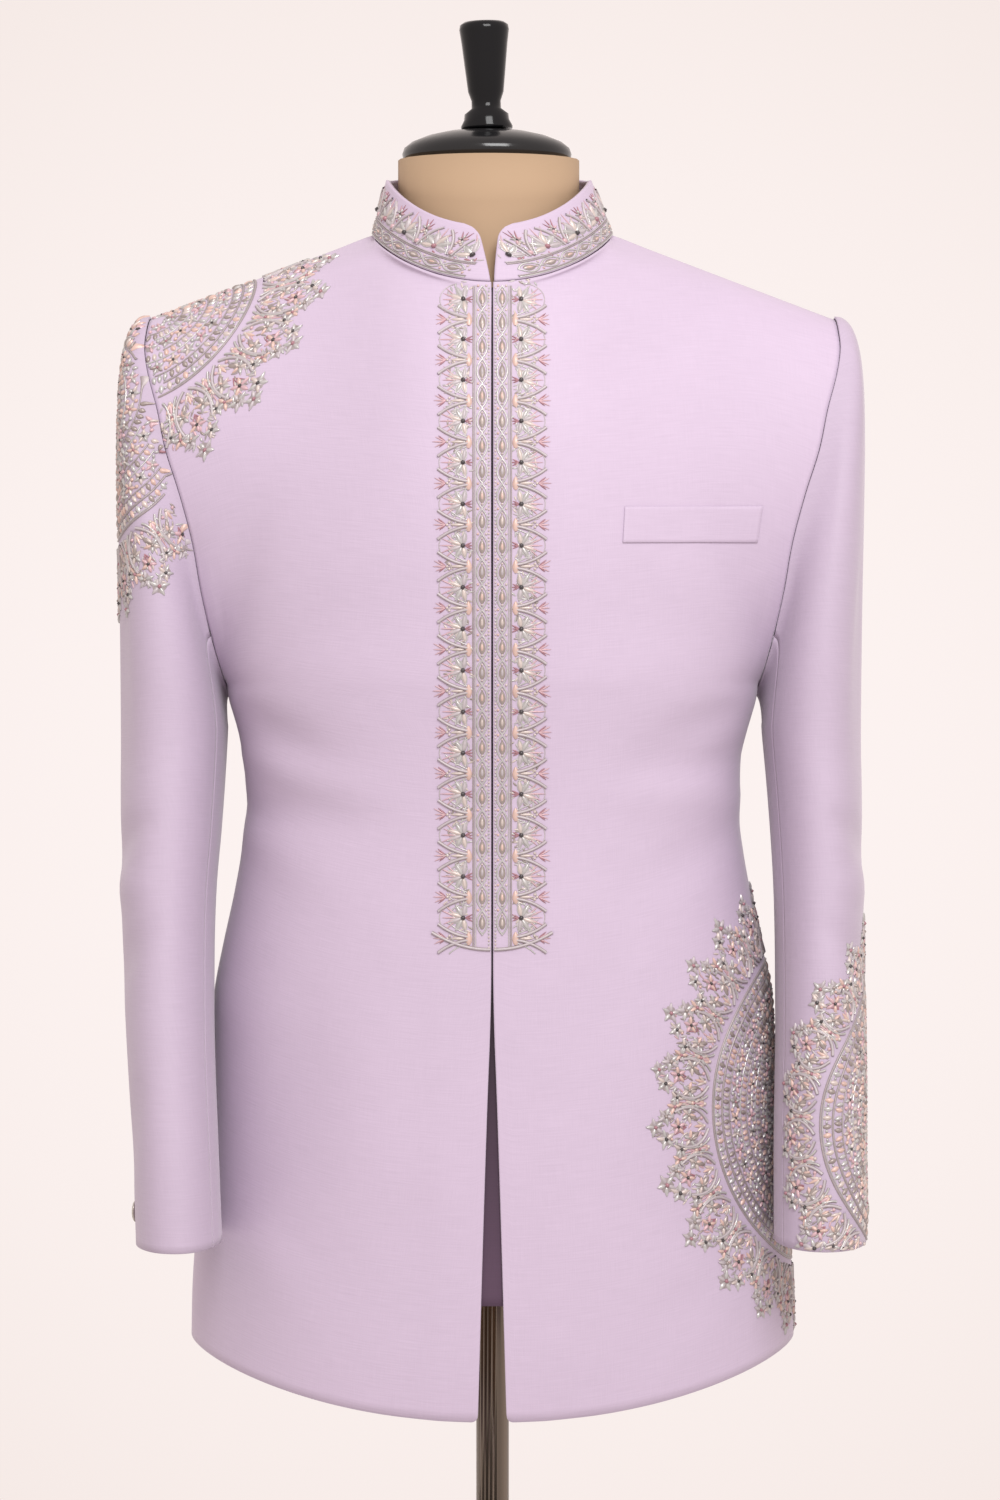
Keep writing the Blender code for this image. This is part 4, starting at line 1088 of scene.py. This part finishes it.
def cloth_look(name, colour, sheen=0.25, roughness=0.62, painted_shade_colour=None):
    """Fine plain weave with long slubs; the attribute holds metres along and up the cloth. A given shade colour darkens
    the cloth upwards, as painted shade.
    """
    look = bpy.data.materials.new(name)
    look.use_nodes = True
    tree = look.node_tree
    shader = tree.nodes["Principled BSDF"]
    shader.inputs["Roughness"].default_value = roughness
    shader.inputs["Specular IOR Level"].default_value = 0.3
    shader.inputs["Sheen Weight"].default_value = sheen
    shader.inputs["Sheen Roughness"].default_value = 0.45
    weave = tree.nodes.new("ShaderNodeAttribute")
    weave.attribute_name = "weave"

    def streaks(scale_s, scale_t, detail):
        stretch = tree.nodes.new("ShaderNodeMapping")
        stretch.inputs["Scale"].default_value = (scale_s, scale_t, 1.0)
        noise = tree.nodes.new("ShaderNodeTexNoise")
        noise.inputs["Scale"].default_value = 1.0
        noise.inputs["Detail"].default_value = detail
        tree.links.new(weave.outputs["Vector"], stretch.inputs["Vector"])
        tree.links.new(stretch.outputs["Vector"], noise.inputs["Vector"])
        return noise.outputs["Fac"]

    def joined(operation, first, second):
        node = tree.nodes.new("ShaderNodeMath")
        node.operation = operation
        for place, value in enumerate((first, second)):
            if isinstance(value, (int, float)):
                node.inputs[place].default_value = value
            else:
                tree.links.new(value, node.inputs[place])
        return node.outputs[0]

    across = streaks(45.0, 1100.0, 2.0)
    down = streaks(1300.0, 60.0, 2.0)
    cloud = streaks(9.0, 9.0, 2.0)
    threads = joined("ADD", joined("MULTIPLY", across, 0.62), joined("MULTIPLY", down, 0.38))
    tone = joined("ADD", joined("MULTIPLY", threads, 0.75), joined("MULTIPLY", cloud, 0.25))
    ramp = tree.nodes.new("ShaderNodeMapRange")
    ramp.inputs["From Min"].default_value = 0.32
    ramp.inputs["From Max"].default_value = 0.68
    tree.links.new(tone, ramp.inputs["Value"])
    tint = tree.nodes.new("ShaderNodeMix")
    tint.data_type = "RGBA"
    tint.inputs["A"].default_value = (*[c * 0.945 for c in colour], 1)
    tint.inputs["B"].default_value = (*[min(1, c * 1.055) for c in colour], 1)
    tree.links.new(ramp.outputs["Result"], tint.inputs["Factor"])
    tree.links.new(tint.outputs["Result"], shader.inputs["Base Color"])
    # painted shade: from 2 to 19 cm up the cloth the colour goes over to the dark shade colour
    if painted_shade_colour is not None:
        split = tree.nodes.new("ShaderNodeSeparateXYZ")
        tree.links.new(weave.outputs["Vector"], split.inputs["Vector"])
        fade = tree.nodes.new("ShaderNodeMapRange")
        fade.inputs["From Min"].default_value = 0.02
        fade.inputs["From Max"].default_value = 0.19
        tree.links.new(split.outputs["Y"], fade.inputs["Value"])
        shaded = tree.nodes.new("ShaderNodeMix")
        shaded.data_type = "RGBA"
        shaded.inputs["B"].default_value = (*painted_shade_colour, 1)
        tree.links.new(fade.outputs["Result"], shaded.inputs["Factor"])
        tree.links.new(tint.outputs["Result"], shaded.inputs["A"])
        tree.links.new(shaded.outputs["Result"], shader.inputs["Base Color"])
    bump = tree.nodes.new("ShaderNodeBump")
    bump.inputs["Strength"].default_value = 0.35
    bump.inputs["Distance"].default_value = 0.0004
    tree.links.new(threads, bump.inputs["Height"])
    tree.links.new(bump.outputs["Normal"], shader.inputs["Normal"])
    return look


# Looks
LILAC_LOOK = cloth_look("lilac_cloth", (0.505, 0.415, 0.535))
# the body's lilac made about 11 percent darker, as painted shade on the sleeves
SHADED_SLEEVE_LOOK = cloth_look("sleeve_cloth_painted_shade", (0.448, 0.370, 0.476))
# dark plum underlap cloth, its colour lowered further as painted shade of the narrow slit, and darker towards the top
# as painted shadow
PLUM_AND_SHADE_LOOK = cloth_look("plum_cloth", (0.082, 0.046, 0.079), sheen=0.05, painted_shade_colour=(0.022, 0.013, 0.021))
BEAD_LOOKS = [
    plain_look("beads_silver", (0.465, 0.450, 0.445), 0.30, metallic=0.30, grain=0.30, scale=320),
    plain_look("beads_cream", (0.545, 0.470, 0.440), 0.34, metallic=0.15, grain=0.20, scale=320),
    plain_look("beads_greige", (0.320, 0.272, 0.255), 0.34, metallic=0.30, grain=0.25, scale=320),
    plain_look("beads_peach", (0.590, 0.420, 0.370), 0.36, metallic=0.10, grain=0.20, scale=320),
    plain_look("beads_pink", (0.550, 0.370, 0.400), 0.38, metallic=0.10, grain=0.20, scale=320),
    plain_look("beads_rose", (0.340, 0.170, 0.200), 0.40, metallic=0.10, grain=0.20, scale=320),
    plain_look("beads_stone", (0.060, 0.052, 0.055), 0.18, metallic=0.20, grain=0.20, scale=320),
    # dark cord thread, also used as painted shade under florets and threads
    plain_look("thread_cord_and_painted_shade", (0.325, 0.280, 0.285), 0.42, metallic=0.20, grain=0.20, scale=420),
    plain_look("thread_pale", (0.440, 0.395, 0.415), 0.42, metallic=0.10, grain=0.15, scale=420),
]
STAND_LOOK = plain_look("stand_metal", (0.060, 0.055, 0.052), 0.35, metallic=0.85)
WELD_WITHIN = 0.00002
SHARP_ABOVE = math.radians(34)
NODE_LOOKS = {
    "form_torso": plain_look("form_jersey", (0.382, 0.262, 0.165), 0.80, grain=0.05, scale=14),
    "neck_cap": plain_look("cap_lacquer", (0.008, 0.008, 0.009), 0.17, shine=0.45),
    "knob": plain_look("knob_lacquer", (0.006, 0.006, 0.007), 0.12, shine=0.22),
    # strong vertical streaks in the bronze colour: painted reflection of the pole's bright and dark bands
    "pole": plain_look("bronze_tube", (0.185, 0.148, 0.118), 0.26, metallic=0.80, grain=0.70, scale=1.0,
                       stretch=(170.0, 170.0, 0.8)),
    "cuff_button_left": plain_look("button_left", (0.520, 0.490, 0.440), 0.25, metallic=0.95),
    "cuff_button_right": plain_look("button_right", (0.520, 0.490, 0.440), 0.25, metallic=0.95),
}
base_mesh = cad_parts["base"].data
base_mesh.materials.clear()
base_mesh.materials.append(STAND_LOOK)
for node, look in NODE_LOOKS.items():
    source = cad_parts[node]
    mesh = source.data.copy()
    mesh.materials.clear()
    mesh.materials.append(look)
    welded = bmesh.new()
    welded.from_mesh(mesh)
    bmesh.ops.remove_doubles(welded, verts=welded.verts, dist=WELD_WITHIN)
    welded.to_mesh(mesh)
    welded.free()
    mesh.shade_smooth()
    mesh.set_sharp_from_angle(angle=SHARP_ABOVE)
    made = bpy.data.objects.new(node + "_smooth", mesh)
    made.matrix_world = source.matrix_world.copy()
    bpy.context.scene.collection.objects.link(made)
    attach(made, "root")
    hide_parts(node)


def cloth_piece(node, outer, thickness, look, cut, inner_ways=None, flat=None):
    """The shown shell of one cloth node. The cut argument is not used."""
    made = shell(node + "_cloth", outer, thickness, [look], inner_ways, flat)
    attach(made, "root")
    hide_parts(node)
    return made


CREASE_DEEPER = 1.45


def crease(grid, flat, marks):
    """Soft troughs (depth above 0) and ridges along short lines: from, to, half width, depth."""
    sink = np.zeros(grid.shape[:2])
    for from_s, from_t, to_s, to_t, width, depth in marks:
        start = np.array((from_s, from_t))
        run = np.array((to_s - from_s, to_t - from_t))
        away = flat - start
        part = np.clip((away @ run) / (run @ run), 0, 1)
        bow = 0.10 * np.linalg.norm(run) * np.sin(np.pi * part)
        across = away - part[:, :, None] * run
        off = np.linalg.norm(across, axis=2) - bow * 0.2
        wide = width * (0.75 + 0.5 * part)
        sink += CREASE_DEEPER * depth * np.exp(-(off / wide) ** 2) * (0.35 + 0.65 * np.sin(np.pi * (0.15 + 0.8 * part)))
    rows, columns = sink.shape
    from_edge = np.minimum(np.arange(columns), np.arange(columns)[::-1])[None, :] / 6
    from_rim = np.minimum(np.arange(rows), np.arange(rows)[::-1])[:, None] / 4
    sink *= np.clip(from_edge, 0, 1) * np.clip(from_rim, 0, 1)
    return grid - normals(grid) * sink[:, :, None]


def round_corner(grid, edge_column, toward):
    """Lift the hem at the front edge into a small rounded corner."""
    grid = grid.copy()
    edge = grid[0, edge_column].copy()
    for step in range(1, 12):
        pass
    for column in range(12):
        index = edge_column + toward * column
        distance = np.linalg.norm(grid[0, index] - edge)
        if distance < HEM_CORNER:
            lift = HEM_CORNER - math.sqrt(HEM_CORNER ** 2 - (HEM_CORNER - distance) ** 2)
            base = grid[0, index, 2]
            grid[0, index, 2] = base + lift
    return grid


# Creases: from x, height, to x, height, half width, depth (a ridge below 0)
LEFT_CREASES = (
    (0.158, 0.672, 0.105, 0.650, 0.011, 0.0016),
    (0.160, 0.640, 0.085, 0.632, 0.010, 0.0015),
    (0.160, 0.612, 0.070, 0.622, 0.012, -0.0013),
    (0.156, 0.590, 0.095, 0.560, 0.014, 0.0012),
    (0.178, 0.720, 0.150, 0.800, 0.013, 0.0017),
    (0.160, 0.705, 0.128, 0.770, 0.014, -0.0012),
    (0.060, 0.520, 0.075, 0.440, 0.020, 0.0010),
    (0.095, 0.500, 0.110, 0.400, 0.022, -0.0010),
    (0.045, 0.400, 0.060, 0.280, 0.022, -0.0009),
    (0.120, 0.905, 0.060, 0.890, 0.016, 0.0010),
    (0.140, 0.300, 0.100, 0.270, 0.018, 0.0009),
)
RIGHT_CREASES = (
    (-0.160, 0.668, -0.110, 0.640, 0.012, 0.0019),
    (-0.160, 0.640, -0.075, 0.618, 0.010, -0.0014),
    (-0.160, 0.606, -0.080, 0.600, 0.012, 0.0014),
    (-0.156, 0.585, -0.100, 0.560, 0.014, -0.0010),
    (-0.180, 0.715, -0.155, 0.800, 0.013, 0.0018),
    (-0.160, 0.700, -0.125, 0.760, 0.014, -0.0013),
    (-0.120, 0.480, -0.140, 0.380, 0.022, 0.0012),
    (-0.070, 0.470, -0.090, 0.350, 0.022, -0.0010),
    (-0.050, 0.350, -0.065, 0.260, 0.020, 0.0009),
    (-0.150, 0.330, -0.120, 0.280, 0.018, -0.0009),
)
BACK_CREASES = (
    (0.150, 0.660, 0.080, 0.640, 0.013, 0.0018),
    (0.150, 0.620, 0.060, 0.615, 0.014, -0.0014),
    (-0.150, 0.665, -0.085, 0.642, 0.013, 0.0018),
    (-0.150, 0.618, -0.065, 0.612, 0.014, -0.0014),
    (0.170, 0.730, 0.140, 0.830, 0.014, 0.0018),
    (-0.170, 0.730, -0.142, 0.832, 0.014, 0.0018),
    (0.060, 0.930, -0.060, 0.928, 0.010, 0.0010),
    (0.090, 0.480, 0.110, 0.330, 0.024, 0.0011),
    (-0.085, 0.470, -0.100, 0.320, 0.024, 0.0011),
)
# On a sleeve: along the cloth from its outer line, height
SLEEVE_CREASES = (
    (-0.075, 0.600, -0.020, 0.575, 0.010, 0.0018),
    (-0.070, 0.560, -0.010, 0.552, 0.011, -0.0014),
    (-0.075, 0.530, -0.025, 0.500, 0.011, 0.0016),
    (0.065, 0.620, 0.020, 0.590, 0.012, 0.0015),
    (0.050, 0.840, 0.055, 0.700, 0.014, 0.0014),
    (-0.040, 0.760, -0.050, 0.640, 0.014, 0.0012),
    (-0.050, 0.430, -0.015, 0.380, 0.012, 0.0009),
)

# Body
front, front_corner = half_surface(-1)
back, back_corner = half_surface(1)
front_ways, back_ways = sewn_ways(front, back, front_corner, back_corner)
front_edge = pull_edge(front, SEAM / 2, ("last", "top"))
fine_left = round_corner(refine(front_edge, FRONT_CELLS), 0, 1)
fine_ways = refine(front_ways, FRONT_CELLS)
fine_ways /= np.linalg.norm(fine_ways, axis=2, keepdims=True)
fine_right = mirrored(fine_left)
right_ways = mirrored(fine_ways)
fine_left = crease(fine_left, fine_left[:, :, (0, 2)], LEFT_CREASES)
fine_right = crease(fine_right, fine_right[:, :, (0, 2)], RIGHT_CREASES)
cloth_piece("front_left", fine_left, CLOTH, LILAC_LOOK, None, fine_ways)
cloth_piece("front_right", fine_right, CLOTH, LILAC_LOOK, None, right_ways)

half = pull_edge(back, SEAM / 2, ("last", "top"))
half[:, 0, 0] = 0.0
whole, whole_ways = (np.concatenate((grid[:, ::-1], mirrored(grid)[:, ::-1][:, 1:]), axis=1)
                     for grid in (half, back_ways))
fine_back = refine(whole, BACK_CELLS)
back_inner = refine(whole_ways, BACK_CELLS)
back_inner /= np.linalg.norm(back_inner, axis=2, keepdims=True)
fine_back = crease(fine_back, fine_back[:, :, (0, 2)], BACK_CREASES)
cloth_piece("back", fine_back, CLOTH, LILAC_LOOK, None, back_inner)


# Underlap
strip = front[:, :3].copy()
strip[:, 0, 0] = 0.0
strip_ways = front_ways[:, :3].copy()
strip_ways[:, 0, 0] = 0.0
strip_ways /= np.linalg.norm(strip_ways, axis=2, keepdims=True)
strip = strip - strip_ways * (CLOTH + LAY)
strip, strip_ways = (np.concatenate((mirrored(grid), grid[:, 1:]), axis=1) for grid in (strip, strip_ways))
first = int(np.argmax(strip[:, 2, 2] > UNDERLAP_END))
strip, strip_ways = strip[first - 1:-1], strip_ways[first - 1:-1]
part = (UNDERLAP_END - strip[0, :, 2]) / (strip[1, :, 2] - strip[0, :, 2])
strip[0] += (strip[1] - strip[0]) * part[:, None]
fine_strip = refine(strip, (5, 3))
strip_inner = refine(strip_ways, (5, 3))
strip_inner /= np.linalg.norm(strip_inner, axis=2, keepdims=True)
cloth_piece("underlap", fine_strip, UNDERLAP_CLOTH, PLUM_AND_SHADE_LOOK, None, strip_inner)

# Collar
COLLAR_FINE_ROWS = 24
COLLAR_SPLIT = 6


def collar_grid():
    half_run = neck_angles(-1) + neck_angles(1)[-2::-1]
    count = len(half_run)
    keys = np.linspace(0, count - 1, (count - 1) * COLLAR_SPLIT + 1)
    half_run = list(np.interp(keys, np.arange(count), half_run))
    fixed = (len(FRONT_REACHES) - 1) * COLLAR_SPLIT
    grid = []
    for row in range(COLLAR_FINE_ROWS + 1):
        part = row / COLLAR_FINE_ROWS
        height = part * COLLAR_HEIGHT
        half_gap = COLLAR_HALF_GAP + COLLAR_PART * part ** 1.3
        short = max(0.0, COLLAR_CORNER - (COLLAR_HEIGHT - height))
        half_gap += COLLAR_CORNER - math.sqrt(max(0.0, COLLAR_CORNER ** 2 - short ** 2))
        half = NECK_HALF + (COLLAR_TOP_HALF - NECK_HALF) * part
        start = math.asin(half_gap / half)
        squeeze = (half_run[fixed] - start) / (half_run[fixed] - half_run[0])
        run = [half_run[fixed] - (half_run[fixed] - angle) * squeeze for angle in half_run[:fixed]]
        run += half_run[fixed:]
        angles = run + [2 * math.pi - angle for angle in run[-2::-1]]
        grid.append([collar_point(angle, part) for angle in angles])
    grid = np.array(grid)
    grid[:, :, 0] += NECK_AXIS_X * (np.arange(COLLAR_FINE_ROWS + 1) / COLLAR_FINE_ROWS)[:, None]
    return grid


fine_collar = collar_grid()
cloth_piece("collar", fine_collar, COLLAR_CLOTH, LILAC_LOOK, None)

# Sleeves
sleeves = {}
for side, table in ((1, LEFT_SLEEVE), (-1, RIGHT_SLEEVE)):
    run = [(step, -1) for step in range(UPPER_ROWS + 1)]
    run += [(step, 1) for step in range(UPPER_ROWS - 1, 0, -1)]
    ring = np.array([sleeve_column(table, step, facing) for step, facing in run]).transpose(1, 0, 2)
    count = len(run)
    wide = np.concatenate((ring[:, -1:], ring, ring[:, :1]), axis=1)
    ways = normals(wide)[:, 1:-1]
    radial = ring[-1] - ring[-1].mean(axis=0)
    radial[:, 0] = 0.0
    ways[-1] = radial / np.linalg.norm(radial, axis=1, keepdims=True)
    back_seam = count - BACK_SEAM_STEP
    pieces = {"top": list(range(FRONT_SEAM_STEP, back_seam + 1)),
              "under": list(range(back_seam, count)) + list(range(0, FRONT_SEAM_STEP + 1))}
    name = "left" if side > 0 else "right"
    for piece, columns in pieces.items():
        grid = refine(pull_edge(ring[:, columns], SLEEVE_SEAM / 2, ("first", "last")), SLEEVE_CELLS)
        inner = refine(ways[:, columns], SLEEVE_CELLS)
        inner /= np.linalg.norm(inner, axis=2, keepdims=True)
        middle = (UPPER_ROWS - FRONT_SEAM_STEP) * SLEEVE_CELLS[1]
        if side < 0:
            grid, inner = mirrored(grid), mirrored(inner)
            middle = grid.shape[1] - 1 - middle
        if piece == "top":
            marks = [(row[0] * side, row[1], row[2] * side) + row[3:] for row in SLEEVE_CREASES]
            grid = crease(grid, section_flat(grid, middle), marks)
        cloth_piece(f"sleeve_{piece}_{name}", grid, CLOTH, SHADED_SLEEVE_LOOK, None, inner)
        sleeves[piece, name] = (grid, middle)

# Breast welt
front_chart = Chart(fine_left, fine_left[:, :, (0, 2)])
marks = []
welt_columns, welt_rows = 40, 10
for row in range(welt_rows + 1):
    v = row / welt_rows
    for step in range(welt_columns + 1):
        u = step / welt_columns
        low = np.array(WELT_CORNERS[0]) * (1 - u) + np.array(WELT_CORNERS[1]) * u
        high = np.array(WELT_CORNERS[3]) * (1 - u) + np.array(WELT_CORNERS[2]) * u
        spot = low * (1 - v) + high * v
        marks.append((spot[0], spot[1], 0.0011))
welt, _ = front_chart.place(np.array(marks))
welt = welt.reshape(welt_rows + 1, welt_columns + 1, 3)
cloth_piece("breast_welt", welt, 0.0008, LILAC_LOOK, None)

# Beadwork
work = Beadwork()
placket(work, 1)
work.set_on(front_chart, "beads_placket_left", BEAD_LOOKS)

right_chart = Chart(fine_right, fine_right[:, :, (0, 2)])
work = Beadwork()
placket(work, -1)
work.set_on(right_chart, "beads_placket_right", BEAD_LOOKS)

collar_flat = flat_of(fine_collar)
collar_flat[:, :, 0] -= collar_flat[:, -1:, 0] / 2
collar_half = float(collar_flat[8, -1, 0])
work = Beadwork()
collar_band(work, collar_half)
work.set_on(Chart(fine_collar, collar_flat), "beads_collar", BEAD_LOOKS)

hip_flat = np.stack((flat_of(fine_left)[:, :, 0], fine_left[:, :, 2]), axis=2)
hip_flat[:, :, 0] -= hip_flat[:, -1:, 0]
work = Beadwork()
medallion(work, (-0.020, 0.403), 0.100, 0.150, 24)
work.set_on(Chart(fine_left, hip_flat), "beads_hip", BEAD_LOOKS)

yoke_flat = flat_of(fine_right)
yoke_flat[:, :, 0] = fine_right[:, :, 0]
yoke_flat[:, :, 1] -= yoke_flat[-1:, :, 1]
work = Beadwork()
medallion(work, (-0.222, -0.018), 0.0655, 0.1215, 20)
work.set_on(Chart(fine_right[60:], yoke_flat[60:]), "beads_shoulder", BEAD_LOOKS)

grid, middle = sleeves["top", "right"]
work = Beadwork()
medallion(work, (0.020, 0.870), 0.0885, 0.142, 24)
work.set_on(Chart(grid, section_flat(grid, middle)), "beads_sleeve_head", BEAD_LOOKS)

grid, middle = sleeves["top", "left"]
work = Beadwork()
medallion(work, (0.010, 0.412), 0.085, 0.127, 22)
work.set_on(Chart(grid, section_flat(grid, middle)), "beads_cuff", BEAD_LOOKS)

# Camera: 2.8 m away, 2.5 degrees above level
AIM = Vector((0.005, 0.0, 0.6424))
DISTANCE = 2.8
PITCH = math.radians(2.5)
camera = bpy.data.cameras.new("camera")
camera.lens = 100.6
camera.sensor_width = 36.0
camera_object = bpy.data.objects.new("camera", camera)
bpy.context.scene.collection.objects.link(camera_object)
camera_object.location = AIM + Vector((0.0, -math.cos(PITCH), math.sin(PITCH))) * DISTANCE
camera_object.rotation_euler = (AIM - camera_object.location).to_track_quat("-Z", "Y").to_euler()
bpy.context.scene.camera = camera_object

# Light: a pale studio all round, a large soft key from the upper front
world = bpy.data.worlds.new("studio")
world.use_nodes = True
bpy.context.scene.world = world
tree = world.node_tree
shade = tree.nodes["Background"]
place = tree.nodes.new("ShaderNodeTexCoord")
ahead = tree.nodes.new("ShaderNodeVectorMath")
ahead.operation = "DOT_PRODUCT"
ahead.inputs[1].default_value = (0.0, math.cos(PITCH), -math.sin(PITCH))
glow = tree.nodes.new("ShaderNodeMapRange")
glow.inputs["From Min"].default_value = 0.972
glow.inputs["From Max"].default_value = 0.996
tint = tree.nodes.new("ShaderNodeMix")
tint.data_type = "RGBA"
tint.inputs["A"].default_value = (0.900, 0.805, 0.770, 1)
tint.inputs["B"].default_value = (0.975, 0.890, 0.872, 1)
tree.links.new(place.outputs["Generated"], ahead.inputs[0])
tree.links.new(ahead.outputs["Value"], glow.inputs["Value"])
tree.links.new(glow.outputs["Result"], tint.inputs["Factor"])
tree.links.new(tint.outputs["Result"], shade.inputs["Color"])
bpy.context.scene.view_settings.view_transform = "Standard"


def soft_light(name, place, aim, size, power, colour=(1.0, 1.0, 1.0)):
    lamp = bpy.data.lights.new(name, "AREA")
    lamp.shape = "RECTANGLE"
    lamp.size, lamp.size_y = size
    lamp.energy = power
    lamp.color = colour
    made = bpy.data.objects.new(name, lamp)
    made.location = place
    made.rotation_euler = (Vector(aim) - Vector(place)).to_track_quat("-Z", "Y").to_euler()
    bpy.context.scene.collection.objects.link(made)


soft_light("key", (0.55, -2.3, 2.5), (0.0, 0.0, 0.70), (1.4, 1.4), 72.0)

low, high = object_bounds()
